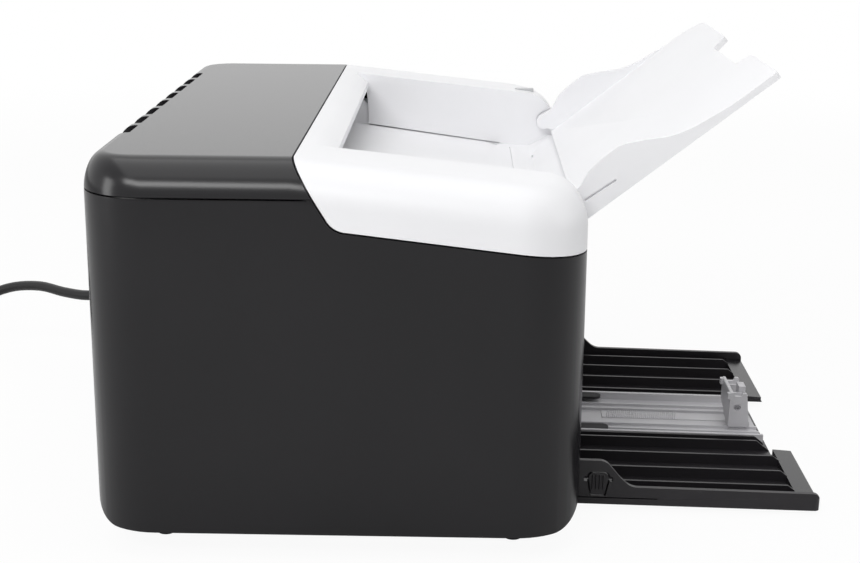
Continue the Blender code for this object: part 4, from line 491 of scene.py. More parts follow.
def dressed(made, name, edge, *materials, angle=38):
    # edges broken by a small radius as a mould leaves them, and faces shaded even
    bm = cleaned(made)
    bm.to_mesh(made.data)
    bm.free()
    made.name = made.data.name = name
    coat(made, *materials)
    smoothBy(made, angle)
    soft = made.modifiers.new("mouldedEdges", "BEVEL")
    soft.width = edge * mm
    soft.segments = 2
    soft.limit_method = "ANGLE"
    soft.angle_limit = radians(angle)
    soft.miter_outer = "MITER_ARC"
    even = made.modifiers.new("evenShading", "WEIGHTED_NORMAL")
    even.keep_sharp = True
    even.weight = 50
    return made


# Body skin: sizes of the moulded shells
shell = {
    "halfWidth": 170 * mm, "depth": 218 * mm, "height": 178 * mm, "front": -50.5 * mm,
    "wall": 2.5 * mm, "corner": 30 * mm, "crown": 17 * mm, "rearShare": 0.55, "slope": 0.107,
    "slopeStart": 126.2 * mm, "skirt": 12.4 * mm, "toe": 12.5 * mm,
    "seam": 0.75 * mm, "lidSeam": 162.8 * mm, "coverTop": 125.8 * mm,
    "coverKnee": (108.3 * mm, 149.5 * mm), "coverFront": 137.0 * mm, "kneeRound": 10 * mm,
    "arcSteps": 14, "edge": 0.5,
}
frontY = shell["front"]
rearY = frontY + shell["depth"]
middleY = (frontY + rearY) / 2
slopeY = frontY + shell["slopeStart"]
steepness = ((shell["height"] - shell["coverKnee"][1])
             / (shell["coverTop"] - shell["coverKnee"][0]))
edgeRise = (shell["coverKnee"][1] - shell["coverFront"]) / shell["coverKnee"][0]
spare = 10 * mm


def crownHeight(y):
    # the top falls towards the front
    return shell["height"] - shell["slope"] * max(0.0, slopeY - y)


def bodyForm(inset, name):
    steps = shell["arcSteps"]

    def ring(shrink, rearShrink, heightOf):
        halfX = shell["halfWidth"] - shrink
        halfY = (shell["depth"] - shrink - rearShrink) / 2
        centreY = middleY + (shrink - rearShrink) / 2
        radius = shell["corner"] - shrink
        points = []
        for quarter, (side, end) in enumerate(((1, -1), (1, 1), (-1, 1), (-1, -1))):
            for step in range(steps + 1):
                turn = (quarter - 1 + step / steps) * pi / 2
                x = side * (halfX - radius) + radius * cos(turn)
                y = centreY + end * (halfY - radius) + radius * sin(turn)
                points.append((x, y, heightOf(y)))
            if quarter in (0, 2):
                points.append((side * halfX, slopeY, heightOf(slopeY)))
        return points

    edge = shell["crown"] - inset
    rings = [ring(inset, inset, lambda y: shell["skirt"] - spare)]
    for step in range(steps + 1):
        turn = pi / 2 * step / steps
        drop = inset + edge * (1 - sin(turn))
        into = edge * (1 - cos(turn))
        rings.append(ring(inset + into, inset + into * shell["rearShare"],
                          lambda y: crownHeight(y) - drop))
    bm = bmesh.new()
    levels = [[bm.verts.new(point) for point in level] for level in rings]
    bridged(bm, levels)
    right = steps + 1
    left = right + 2 * steps + 3
    bm.faces.new(levels[-1][right:left + 1])
    bm.faces.new(levels[-1][left:] + levels[-1][:right + 1])
    return addMesh(name, bm, absBlack)


def toeProfile(inset, name):
    low, high = shell["skirt"] + inset, shell["height"] + spare
    toe = shell["toe"] - inset
    front, rear = frontY + inset, rearY - inset
    reach = shell["halfWidth"] + spare
    outline = fillet([(front, low, toe), (rear, low, toe), (rear, high, 0), (front, high, 0)], 14)
    return pushedOut("X", [outline], -reach, reach, name)


def hollowSkin(name):
    # outside less inside, open underneath
    outer = keep(bodyForm(0.0, name), toeProfile(0.0, "toes"))
    inner = keep(bodyForm(shell["wall"], "inside"), toeProfile(shell["wall"], "innerToes"))
    inside = shell["halfWidth"] - 2 * shell["wall"]
    toe = shell["toe"]
    opening = pushedOut("Z", [roundRectangle(-inside, inside, frontY + toe, rearY - toe,
                                             shell["corner"] - toe)],
                        shell["skirt"] - spare, shell["skirt"] + spare, "opening")
    return cut(outer, inner, opening)


def seamLine(offset):
    # side view of the white cover's edge, moved down and back by an offset
    back = offset * hypot(1, 1 / steepness)
    down = offset * hypot(1, edgeRise)
    high = shell["height"] + spare
    front = frontY - spare
    kneeY, kneeZ = frontY + shell["coverKnee"][0], shell["coverKnee"][1]
    shift = (steepness * back - down) / (steepness - edgeRise)
    kneeY, kneeZ = kneeY + shift, kneeZ + edgeRise * shift - down
    return ((front, kneeZ - edgeRise * (kneeY - front)), (kneeY, kneeZ),
            (kneeY + (high - kneeZ) / steepness, high))


def region(corners, name):
    reach = shell["halfWidth"] + spare
    return pushedOut("X", [fillet(corners, 10)], -reach, reach, name)


def carries(made, body, slot, *standsFor):
    # the piece takes the place of these CAD nodes, on the body that they move with
    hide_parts(*standsFor)
    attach(made, body)
    return made


housing = {
    "mouthHalf": 112 * mm, "mouthTop": 149.5 * mm, "lugHalf": 115.3 * mm, "lugTop": 16.4 * mm,
    "gland": (60 * mm, 58 * mm, 6.1 * mm),
    "socket": (93.45 * mm, 106.55 * mm, 33.95 * mm, 46.05 * mm),
}


def makeHousing(spec):
    start, knee, _ = seamLine(shell["seam"])
    seat = shell["lidSeam"] - shell["seam"]
    seatY = knee[0] + (seat - knee[1]) / steepness
    low, rear = shell["skirt"] - spare, rearY + spare
    body = keep(hollowSkin("housing"),
                region([(start[0], low, 0), (rear, low, 0), (rear, seat, 0), (seatY, seat, 0),
                        (*knee, shell["kneeRound"]), (*start, 0)], "bounds"))
    inFront, inward = frontY - spare, frontY + shell["toe"] + shell["wall"]
    glandX, glandZ, glandRound = spec["gland"]
    left, right, bottom, high = spec["socket"]
    cut(body,
        block((-spec["mouthHalf"], inFront, low), (spec["mouthHalf"], inward, spec["mouthTop"])),
        block((-spec["lugHalf"], inFront, low), (spec["lugHalf"], inward, spec["lugTop"])),
        bar("Y", (glandX, glandZ), glandRound, rearY - spare, rear),
        block((left, rearY - spare, bottom), (right, rear, high)))
    dressed(body, "housingShell", shell["edge"], absCharcoal)
    carries(body, "body", "charcoal_shell", "main_housing")


makeHousing(housing)
print("housing moulded")


lid = {
    "ventCount": 8, "ventPitch": 26.6 * mm, "ventWide": 20.5 * mm, "ventOffset": 4 * mm,
    "ventFront": 206.8 * mm, "ventBottom": 164 * mm, "ventRound": 1.2 * mm,
}


def makeLid(spec):
    _, knee, top = seamLine(shell["seam"])
    lidY = knee[0] + (shell["lidSeam"] - knee[1]) / steepness
    rear = rearY + spare
    body = keep(hollowSkin("lid"),
                region([(lidY, shell["lidSeam"], 0), (rear, shell["lidSeam"], 0),
                        (rear, top[1], 0), (*top, 0)], "bounds"))
    half, front, bend = spec["ventWide"] / 2, frontY + spec["ventFront"], spec["ventRound"]
    vents = []
    for index in range(spec["ventCount"]):
        x = spec["ventOffset"] + (index - (spec["ventCount"] - 1) / 2) * spec["ventPitch"]
        outline = fillet([(x - half, front, bend), (x + half, front, bend),
                          (x + half, rear, 0), (x - half, rear, 0)], 4)
        vents.append(pushedOut("Z", [outline], spec["ventBottom"], shell["height"] + spare))
    cut(body, *vents)
    dressed(body, "lidShell", shell["edge"], absCharcoal)
    carries(body, "body", "charcoal_shell", "top_cover")


makeLid(lid)
print("lid moulded")


# Power key: the long button at the rim of the cover, which has its well
button = {
    "x": 133 * mm, "span": (12.5 * mm, 23.5 * mm), "wide": 3.4 * mm, "rise": 1.2 * mm,
    "deep": 8.5 * mm, "wellGap": 0.3 * mm, "wellBottom": 151 * mm, "edge": 0.3,
}


def buttonPlan(spec, gap):
    half = spec["wide"] / 2 + gap
    start, end = (frontY + value for value in spec["span"])
    return roundRectangle(spec["x"] - half, spec["x"] + half, start - gap, end + gap, half * 0.9, 6)


def makeButton(spec):
    start, end = (frontY + value for value in spec["span"])
    body = pushedOut("Z", [buttonPlan(spec, 0.0)], crownHeight(start) - spec["deep"],
                     crownHeight((start + end) / 2) + spec["rise"], "button")
    dressed(body, "powerKey", spec["edge"], keyGrey)
    carries(body, "button", "white_shell", "power_button")


cover = {
    "recessHalf": 122.5 * mm, "recessWall": 2.5 * mm, "floorThick": 2.0 * mm,
    "rimEdge": 111.2 * mm, "rimRear": 118.5 * mm, "rimDrop": 5.5 * mm, "rimBottom": 168 * mm,
    "exitRear": 126.5 * mm, "exitEnd": 135.8 * mm, "floorRear": 148.4 * mm,
    "floorFront": (32.5 * mm, 135.6 * mm), "dip": (15 * mm, 135.0 * mm),
    "sill": (4 * mm, 141 * mm), "wallEnd": 110.4 * mm, "overlap": 0.2 * mm,
    "lipRound": 5.0 * mm, "lipAbove": 9 * mm, "lipSharpAt": 166 * mm,
    "floorGap": 0.7 * mm, "gapDepth": 1.5 * mm, "exitTop": 170 * mm, "exitLean": 1.8 * mm,
    "exitLift": 0.4 * mm, "exitRound": 2 * mm,
    "opening": (1 * mm, 2 * mm, 158.5 * mm, 164.5 * mm, 118 * mm), "openingDepth": 4 * mm,
    "cornerCut": ((0.1, 42), (0.1, 32.7), (6.5, 34.5)), "floorCut": 1.5 * mm,
    "crease": (25 * mm, 112 * mm, 26.4 * mm, 26.9 * mm, 1.0 * mm),
    "slots": (80, 32), "slotWide": 7, "slotSpan": (13.9 * mm, 15.0 * mm),
    "relief": ((2.0, 157.6), (7.2, 155.4), (9.9, 153.4), (11.0, 151.2), (10.7, 147.0),
               (10.0, 147.0), (10.2, 151.0), (9.3, 152.8), (6.8, 154.7), (1.7, 156.9)),
    "reliefDepth": 1 * mm, "pegs": (-43.817 * mm, 150.149 * mm, 1.9 * mm),
    "pegInner": 115.2 * mm, "edge": 0.35,
}


def middleOf(edge):
    return (edge.verts[0].co + edge.verts[1].co) / 2


def onLip(edge, spec, lowest):
    # an upper edge of a side wall of the recess, but not the one at the exit's corner
    if len(edge.link_faces) != 2:
        return False
    middle, normals = middleOf(edge), [face.normal for face in edge.link_faces]
    highest = max(normal.z for normal in normals)
    outer, upright = sorted(abs(normal.x) for normal in normals)
    return (abs(abs(middle.x) - spec["recessHalf"]) < 0.05 * mm and upright > 0.99 and outer < 0.6
            and middle.z > max(lowest, crownHeight(middle.y) - shell["crown"])
            and abs(middle.z - spec["lipSharpAt"]) >= 1 * mm
            and min(normal.z for normal in normals) > -0.1
            and (highest > 0.3 or middle.y < frontY + shell["crown"]))


def roundLip(body, spec, lowest):
    # the upper edges of the recess's side walls roll over in a wide radius
    bm = cleaned(body)
    chosen = [edge for edge in bm.edges if onLip(edge, spec, lowest)]
    bmesh.ops.bevel(bm, geom=chosen, offset=spec["lipRound"], segments=6, profile=0.5,
                    affect="EDGES", clamp_overlap=True)
    print(f"recess lip: {len(chosen)} edges rounded")
    bm.to_mesh(body.data)
    bm.free()


def wallCuts(spec, floorY, floorZ):
    # cuts in both side walls of the recess
    half, floorRear = spec["recessHalf"], spec["floorRear"]
    exitRear = frontY + spec["exitRear"]
    # the walls hang a hair above the floor plate, which shows as a fine dark line
    gap, deep = spec["floorGap"], spec["gapDepth"]
    wallY = frontY + spec["wallEnd"]
    wallZ = floorZ + (floorRear - floorZ) / (exitRear - floorY) * (wallY - floorY)
    groove = [(floorY, floorZ), (wallY, wallZ), (wallY, wallZ + gap), (floorY, floorZ + gap)]
    # behind the walls the exit is wider, and open to the inside at its top
    exitTop = spec["exitTop"]
    wider = fillet([(wallY, wallZ + spec["exitLift"], spec["exitRound"]),
                    (wallY + spec["exitLean"], exitTop, 0), (exitRear, exitTop, 0),
                    (exitRear, floorRear + spec["overlap"], 0)], 5)
    near, lean, low, high, back = spec["opening"]
    opening = [(wallY + near, low), (wallY + lean, exitTop), (frontY + back, exitTop),
               (frontY + back, high)]
    hook = [(frontY + y * mm, z * mm) for y, z in spec["relief"]]
    tools = []
    for side in (-1, 1):
        for outline, into, name in ((groove, deep, "floorGap"), (wider, deep, "wider"),
                                    (opening, spec["openingDepth"], "opening"),
                                    (hook, spec["reliefDepth"], "relief")):
            reach = onSide(side, half - spec["overlap"], half + into)
            tools.append(pushedOut("X", [outline], *reach, name))
    return tools


def floorCuts(spec, floorZ, dipZ):
    # a notch at the flap's pivot, a crease across the floor and two slots at the flap's foot
    half, above, deep = spec["recessHalf"], 3 * mm, spec["floorCut"]
    corner = [(half - into * mm, frontY + back * mm) for into, back in spec["cornerCut"]]
    left, right, start, end, crease = spec["crease"]
    tools = [pushedOut("Z", [corner], floorZ - deep, floorZ + above, "corner"),
             block((left, frontY + start, floorZ - crease), (right, frontY + end, floorZ + above))]
    start, end = spec["slotSpan"]
    for x in spec["slots"]:
        tools.append(block((x * mm, frontY + start, dipZ - deep),
                           ((x + spec["slotWide"]) * mm, frontY + end, dipZ + above)))
    return tools


def makeCover(spec):
    half, wall = spec["recessHalf"], spec["recessWall"]
    start, knee, top = seamLine(0.0)
    high = top[1]
    body = keep(hollowSkin("cover"),
                region([(*start, 0), (*knee, shell["kneeRound"]), (*top, 0),
                        (start[0], high, 0)], "bounds"))
    floorY, floorZ = frontY + spec["floorFront"][0], spec["floorFront"][1]
    dipY, dipZ = frontY + spec["dip"][0], spec["dip"][1]
    sillY, sillZ = frontY + spec["sill"][0], spec["sill"][1]
    under, thin = spec["floorThick"], shell["wall"] / 2
    exitRear, exitEnd, rimEdge = (frontY + spec[key] for key in ("exitRear", "exitEnd", "rimEdge"))
    floorRear, rimBottom = spec["floorRear"], spec["rimBottom"]
    rimY = knee[0] + (rimBottom - knee[1]) / steepness - thin
    tubSide = [(top[0] - thin, high), (rimY, rimBottom), (exitRear, rimBottom),
               (exitRear, floorRear - under), (floorY, floorZ - under), (dipY, dipZ - under),
               (sillY, sillZ - under), (frontY + thin, sillZ - under), (frontY + thin, high)]
    tub = pushedOut("X", [tubSide], -half - wall, half + wall, "tub")
    join(body, keep(tub, bodyForm(thin, "tubBounds")))
    rimZ = crownHeight(frontY + spec["rimRear"])
    steep = spec["rimDrop"] / (spec["rimRear"] - spec["rimEdge"])
    recess = [(frontY + spec["rimRear"] + (high - rimZ) / steep, high),
              (rimEdge, rimZ - spec["rimDrop"]), (rimEdge, rimBottom), (exitEnd, rimBottom),
              (exitEnd, floorRear), (exitRear, floorRear), (floorY, floorZ), (dipY, dipZ),
              (sillY, sillZ), (frontY - spare, sillZ), (frontY - spare, high)]
    cut(body, pushedOut("X", [recess], -half, half, "recess"))
    roundLip(body, spec, sillZ + spec["lipAbove"])
    cut(body, *wallCuts(spec, floorY, floorZ), *floorCuts(spec, floorZ, dipZ))
    pegY, pegZ, pegRound = spec["pegs"]
    for side in (-1, 1):
        ends = onSide(side, spec["pegInner"], half + wall / 2)
        join(body, bar("X", (pegY, pegZ), pegRound, *ends, 24, "flapPeg"))
    well = buttonPlan(button, button["wellGap"])
    cut(body, pushedOut("Z", [well], button["wellBottom"], high, "buttonWell"))
    dressed(body, "coverShell", spec["edge"], absWhite)
    carries(body, "output_lid", "white_shell", "output_cover")


makeCover(cover)
print("cover moulded")


# Flap: drawn in distances along and out of its plate, then swung to its angle
flap = {
    "angle": 38, "halfWide": 117 * mm, "finThick": 2.5 * mm, "hingeBack": 3.5 * mm,
    "hingeRise": 8 * mm, "under": 2 * mm, "face": 1.0 * mm, "pin": 2.2 * mm, "boss": 4.2 * mm,
    "blind": 0.5 * mm, "slotDepth": 1.2 * mm, "edge": 0.5,
    "plate": ((-117, -3.5, 0), (-117, 104, 2.5), (-52.5, 104, 3), (-48.5, 95.5, 3), (19, 95.5, 4),
              (26, 104, 5), (117, 104, 20), (117, -3.5, 0)),
    "fin": ((-7.7, 8, 0), (-5.6, 11.6, 2.5), (5.5, 11.8, 6), (13, 15.4, 6), (21, 16.4, 12),
            (31, 16.3, 12), (41, 11.4, 30), (51, 5.6, 30), (62, 3.0, 30), (78, 1.2, 0),
            (78, -1, 0), (0, -1, 0)),
    "slot": ((3.4, 5.3, 0.3), (20, 4.3, 0.3), (20, 5.3, 0.3), (3.4, 6.3, 0.3)),
}


def flapSide(outline, spec):
    return [(-(along + spec["hingeBack"]), out - spec["hingeRise"]) for along, out in outline]


def makeFlap(spec):
    half, thick = spec["halfWide"], spec["finThick"]
    plan = [(x, -(along + spec["hingeBack"])) for x, along in fillet(inMm(*spec["plate"]), 8)]
    low, top = -spec["hingeRise"] - spec["under"], -spec["hingeRise"] + spec["face"]
    body = pushedOut("Z", [plan], low, top, "flapPlate")
    fin = flapSide(fillet(inMm(*spec["fin"]), 8), spec)
    slot = flapSide(fillet(inMm(*spec["slot"]), 4), spec)
    for side in (-1, 1):
        faces = onSide(side, half - thick, half)
        join(body, pushedOut("X", [fin], *faces, "fin"),
             bar("X", (0, 0), spec["boss"], *faces, 32, "finBoss"))
        # the bore is blind, so the face towards the paper is whole
        bore = onSide(side, half - thick + spec["blind"], half + spare)
        skin = onSide(side, half - spec["slotDepth"], half + spare)
        cut(body, bar("X", (0, 0), spec["pin"], *bore, 24, "finBore"),
            pushedOut("X", [slot], *skin, "finSlot"))
    dressed(body, "flapShell", spec["edge"], absWhite)
    pivotY, pivotZ, _ = cover["pegs"]
    turn = Matrix.Rotation(radians(-spec["angle"]), 4, "X")
    body.data.transform(Matrix.Translation((0, pivotY, pivotZ)) @ turn)
    carries(body, "flap", "white_shell", "output_flap")


makeFlap(flap)
print("flap moulded")


# Tray: drawn in distances along and up from its hinge, then laid at its droop
tray = {
    "pivot": (6 * mm, 10.4 * mm), "droop": 1.1, "under": 6 * mm, "halfWide": 111 * mm,
    "wall": 2.5 * mm, "length": 123 * mm, "back": 4 * mm, "floor": 2 * mm, "over": 1 * mm,
    "cheek": ((-4, 8, 0), (2.3, 13.2, 0), (4.4, 21.9, 2), (20.6, 21.9, 6.5), (27.6, 13.8, 14),
              (33, 8.9, 9), (122.9, 8.5, 3.4), (123, 0, 1), (-4, 0, 0)),
    "ribs": (38.5, 59.5, 79.5, 98), "ribWide": 1.3 * mm, "ribTop": 7.4 * mm,
    "ribSpan": (7.5 * mm, 113.4 * mm), "ribSlope": 3.5 * mm,
    "curb": (31.4 * mm, 32.8 * mm, 7.3 * mm), "curbEnd": 110.3 * mm,
    "lip": (113.0 * mm, 4.9 * mm, 4.4 * mm), "lipShort": 0.6 * mm, "corner": 2.5 * mm,
    "hollow": ((113.5, -1), (125, -1), (125, 1.6), (115, 1.6)), "gap": (-44 * mm, 39 * mm),
    "notch": ((104, 30), (104, 8.5), (112.4, 2.1), (112.4, -1), (124.5, -1), (124.5, 30)),
    "tab": (25 * mm, 8 * mm, 30 * mm, 1.4 * mm), "tabTop": 7.7 * mm, "tabRound": 0.45,
    "tabSkin": 0.2 * mm, "stem": 7 * mm, "stemIn": 0.4 * mm, "hingeHole": 2.3 * mm,
    "grooveUp": 3.1 * mm, "grooveEnd": 46 * mm, "groove": (0.35 * mm, 0.5 * mm), "edge": 0.3,
}
latch = {
    "pad": ((14.3, 4.6, 1.2), (20.7, 4.6, 1.2), (22.3, 12.6, 1), (22.3, 15.6, 2.4),
            (12.7, 15.6, 2.4), (12.7, 12.6, 1)),
    "window": ((13.7, 4.0, 1.4), (21.3, 4.0, 1.4), (22.7, 11.4, 0.4), (24.4, 11.6, 0.6),
               (24.4, 13.8, 0.6), (22.9, 14.0, 0.3), (22.9, 15.6, 2), (21, 16.2, 1),
               (14, 16.2, 1), (12.1, 15.6, 2), (12.1, 14.0, 0.3), (10.6, 13.8, 0.6),
               (10.6, 11.6, 0.6), (12.3, 11.4, 0.4)),
    "thick": 1.8 * mm, "grips": (14.9, 16.6, 18.3, 20.0), "gripWide": 0.8 * mm,
    "gripRise": 0.7 * mm, "gripSpan": (7.4 * mm, 14.6 * mm), "inset": 0.3 * mm, "edge": 0.2,
}
trayPlace = (Matrix.Translation((0, frontY + tray["pivot"][0], tray["pivot"][1]))
             @ Matrix.Rotation(radians(tray["droop"]), 4, "X"))


def traySide(outline):
    return [(-along, up - tray["under"]) for along, up in outline]


def trayBlock(lowX, highX, start, end, bottom, top):
    return block((lowX, -end, bottom - tray["under"]), (highX, -start, top - tray["under"]))


def laid(made, body, slot, *standsFor):
    made.data.transform(trayPlace)
    return carries(made, body, slot, *standsFor)


def addTab(body, spec, side):
    # a thin tongue on a short stem, that a sheet slides on
    x, wide, end, thick = spec["tab"]
    left, right, bend = side * x - wide / 2, side * x + wide / 2, wide * spec["tabRound"]
    tongue = fillet([(left, -thick, 0), (right, -thick, 0), (right, -end, bend),
                     (left, -end, bend)], 6)
    top, lower = spec["tabTop"], spec["stemIn"]
    join(body, pushedOut("Z", [tongue], top - thick - spec["under"], top - spec["under"], "tab"))
    join(body, trayBlock(left + lower, right - lower, 0, spec["stem"], spec["floor"] / 2,
                         top - lower))


def finishTray(body, spec):
    # the tabs are rubber on top, and the lip has the housing's smoother skin
    dressed(body, "trayShell", spec["edge"], absBlack, rubberBlack, absCharcoal)
    inside = spec["halfWide"] - spec["wall"]
    x, wide, end, _ = spec["tab"]
    for face in body.data.polygons:
        across, along = abs(face.center.x), -face.center.y
        if along > spec["lip"][0] and face.normal.z > 0.9 and across < inside:
            face.material_index = 2
        onTab = abs(across - x) < wide and along < end + spec["over"]
        if onTab and face.center.z > spec["tabTop"] - spec["under"] - spec["tabSkin"]:
            face.material_index = 1


def makeTray(spec):
    half, length, under, over = spec["halfWide"], spec["length"], spec["under"], spec["over"]
    inside, seat = half - spec["wall"], spec["floor"] / 2
    body = trayBlock(-half - over, half + over, -spec["back"], length + over, 0, spec["floor"])
    start, end = spec["ribSpan"]
    lipStart, lipLow, lipTop = spec["lip"]
    ribTop = spec["ribTop"]
    rib = traySide([(start, seat), (start, ribTop), (end - spec["ribSlope"], ribTop),
                    (end, lipLow), (end, seat)])
    low, high, curbTop = spec["curb"]
    cheek = traySide(fillet(inMm(*spec["cheek"]), 8))
    for side in (-1, 1):
        for place in spec["ribs"]:
            x = side * place * mm
            join(body, pushedOut("X", [rib], x - spec["ribWide"] / 2, x + spec["ribWide"] / 2))
        join(body, trayBlock(*onSide(side, low, high), start, spec["curbEnd"], seat, curbTop))
        join(body, pushedOut("X", [cheek], *onSide(side, inside, half), "cheek"))
        addTab(body, spec, side)
    lipEnd = length - spec["lipShort"]
    ramp = traySide([(lipStart, seat), (lipStart, lipLow), (lipEnd, lipTop), (lipEnd, seat)])
    join(body, pushedOut("X", [ramp], -inside - seat, inside + seat, "lip"))
    plan = fillet([(-half, -length, spec["corner"]), (half, -length, spec["corner"]),
                   (half, spec["back"], 0), (-half, spec["back"], 0)], 5)
    keep(body, pushedOut("Z", [plan], -under - spare, 3 * spare, "trayPlan"))
    cut(body, pushedOut("X", [traySide(inMm(*spec["notch"]))], *spec["gap"], "trayGap"))
    hollow = traySide(inMm(*spec["hollow"]))
    cut(body, pushedOut("X", [hollow], -inside, inside, "lipHollow"))
    window = traySide(fillet(inMm(*latch["window"]), 5))
    deep, wide = spec["groove"]
    lineLow = spec["grooveUp"] - under
    for side in (-1, 1):
        through = onSide(side, inside - over, half + over)
        skin = onSide(side, half - deep, half + over)
        line = block((skin[0], -spec["grooveEnd"], lineLow), (skin[1], wide, lineLow + wide))
        cut(body, pushedOut("X", [window], *through, "latchWindow"), line,
            bar("X", (0, 0), spec["hingeHole"], *through, 24, "trayBore"))
    finishTray(body, spec)
    laid(body, "tray", "black_plastic", "tray_door")


def makeLatches(spec):
    pad = traySide(fillet(inMm(*spec["pad"]), 6))
    low, high = spec["gripSpan"]
    for side, name in ((-1, "near"), (1, "far")):
        outer = tray["halfWide"] - spec["inset"]
        inner = outer - spec["thick"]
        body = pushedOut("X", [pad], *onSide(side, inner, outer), "pad")
        reach = onSide(side, inner, outer + spec["gripRise"])
        for place in spec["grips"]:
            middle, half = place * mm, spec["gripWide"] / 2
            join(body, trayBlock(*reach, middle - half, middle + half, low, high))
        dressed(body, f"latch_{name}Pad", spec["edge"], absBlack)
        laid(body, f"latch_{name}", "black_plastic", f"tray_latch_{name}")


makeTray(tray)
makeLatches(latch)
print("tray moulded")


channel = {
    "half": 31 * mm, "wall": 1.9 * mm, "under": 2.3 * mm, "base": 1.4 * mm, "height": 5.4 * mm,
    "span": (7.5 * mm, 110.5 * mm), "rails": (11.5 * mm, 19 * mm), "railWide": 1.6 * mm,
    "railRise": 1.5 * mm, "rackX": (-1.0 * mm, 9.5 * mm), "rackStart": 31 * mm,
    "rackLength": 38 * mm, "rackBack": 2 * mm, "rackRise": 0.45 * mm, "barLength": 27 * mm,
    "teeth": 34, "toothIn": 0.5 * mm, "toothFoot": 0.3 * mm, "toothRise": 0.9 * mm,
    "toothShares": (0.1, 0.3, 0.55, 0.8), "skew": 1.6 * mm, "edge": 0.2,
}


def makeChannel(spec):
    half, wall = spec["half"], spec["wall"]
    floor, top = spec["under"] + spec["base"], spec["under"] + spec["height"]
    farSide = [(half, spec["under"]), (half, top), (half - wall, top), (half - wall, floor)]
    railTop = floor + spec["railRise"]
    for x in reversed(spec["rails"]):
        out, into = x + spec["railWide"] / 2, x - spec["railWide"] / 2
        farSide += [(out, floor), (out, railTop), (into, railTop), (into, floor)]
    section = farSide + [(-x, z) for x, z in reversed(farSide)]
    lowered = [(x, z - tray["under"]) for x, z in section]
    body = pushedOut("Y", [lowered], -spec["span"][1], -spec["span"][0], "channel")
    left, right = spec["rackX"]
    rackEnd = spec["rackStart"] + spec["rackLength"]
    join(body, trayBlock(left, right, spec["rackStart"] - spec["rackBack"],
                         rackEnd + spec["barLength"], floor - spec["base"] / 2,
                         floor + spec["rackRise"]))
    # fine slanting teeth for the end guide's pawl
    bm = bmesh.new()
    pitch, shares = spec["rackLength"] / spec["teeth"], spec["toothShares"]
    foot, crest = (floor + spec[key] - tray["under"] for key in ("toothFoot", "toothRise"))
    for index in range(spec["teeth"]):
        start = spec["rackStart"] + index * pitch
        corners = []
        for x, lean in ((left + spec["toothIn"], 0), (right - spec["toothIn"], spec["skew"])):
            corners.append([bm.verts.new((x, -(start + lean + share * pitch), z))
                            for share, z in zip(shares, (foot, crest, crest, foot))])
        near, far = corners
        for a in range(3):
            bm.faces.new((near[a], near[a + 1], far[a + 1], far[a]))
        bm.faces.new((near[3], near[0], far[0], far[3]))
        bm.faces.new(near)
        bm.faces.new(list(reversed(far)))
    join(body, addMesh("rackTeeth", bm, absBlack))
    dressed(body, "channelRail", spec["edge"], acetalGrey)
    laid(body, "tray", "grey_plastic", "guide_channel")


tailStop = {
    "span": (95 * mm, 105.7 * mm), "bottom": 5.5 * mm, "top": 24.4 * mm, "half": 14 * mm,
    "cheek": ((95.0, 5.5, 0), (106.0, 5.5, 0), (106.0, 8.2, 0.6), (105.4, 9, 0.4),
              (103.9, 24.4, 1), (101.6, 24.4, 0.6), (101, 22.6, 0.5), (97.4, 22.6, 0.5),
              (96.8, 24.4, 0.6), (95.0, 24.4, 0.6)),
    "face": ((-14, 5.5, 0), (-5, 5.5, 0), (14, 13, 0), (14, 24.4, 0), (-14, 24.4, 0)),
    "faceSpan": (90 * mm, 110 * mm), "ear": (1.3 * mm, 3.4 * mm, 3.2 * mm, 0.3 * mm),
    "fork": (6.2 * mm, 7.4 * mm), "forkEnd": 3 * mm, "forkDown": 2 * mm, "forkUp": 1 * mm,
    "wall": 1.8 * mm, "pin": (102.1 * mm, 13.7 * mm, 1.3 * mm),
    "dimple": (99.2 * mm, 16.4 * mm, 1.9 * mm), "footTop": 7.4 * mm, "edge": 0.25,
}


def makeTailStop(spec):
    start, end = spec["span"]
    bottom, top, half, under = spec["bottom"], spec["top"], spec["half"], tray["under"]
    face = [(x, up - under) for x, up in fillet(inMm(*spec["face"]))]
    faceStart, faceEnd = spec["faceSpan"]
    body = pushedOut("Y", [face], -faceEnd, -faceStart, "stop")
    keep(body, pushedOut("X", [traySide(fillet(inMm(*spec["cheek"]), 4))], -half - spare,
                         half + spare, "stopSide"))
    wall, far = spec["wall"], half + tray["over"]
    cut(body, trayBlock(-half + wall, half - wall, start + wall, end + spare, spec["footTop"],
                        top + spare))
    reach, drop, wide, lower = spec["ear"]
    forkStart, forkEnd = start + wall / 2, end - spec["forkEnd"]
    for side in (-1, 1):
        ears = onSide(side, half, half - wide)
        join(body, trayBlock(*ears, start - reach, forkStart, top - drop, top - lower))
        ribs = onSide(side, *spec["fork"])
        join(body, trayBlock(*ribs, forkStart, forkEnd, bottom + spec["forkUp"],
                             top - spec["forkDown"]))
    for hole, low, high, sides in (("pin", -half + wall / 2, half - wall / 2, 24),
                                   ("dimple", -far, -half + wall * 1.5, 32)):
        along, up, radius = spec[hole]
        cut(body, bar("X", (-along, up - under), radius, low, high, sides))
    dressed(body, "tailStopBlock", spec["edge"], acetalGrey)
    laid(body, "tail_stop", "grey_plastic", "end_guide")


lever = {
    "axis": (102.1 * mm, 13.4 * mm), "axle": 1.1 * mm, "axleHalf": 13.1 * mm, "half": 4 * mm,
    "blade": (101.1 * mm, 103.1 * mm, 7.7 * mm, 23.9 * mm),
    "thumb": (101.1 * mm, 104.7 * mm, 21.9 * mm, 24.9 * mm), "edge": 0.25,
}


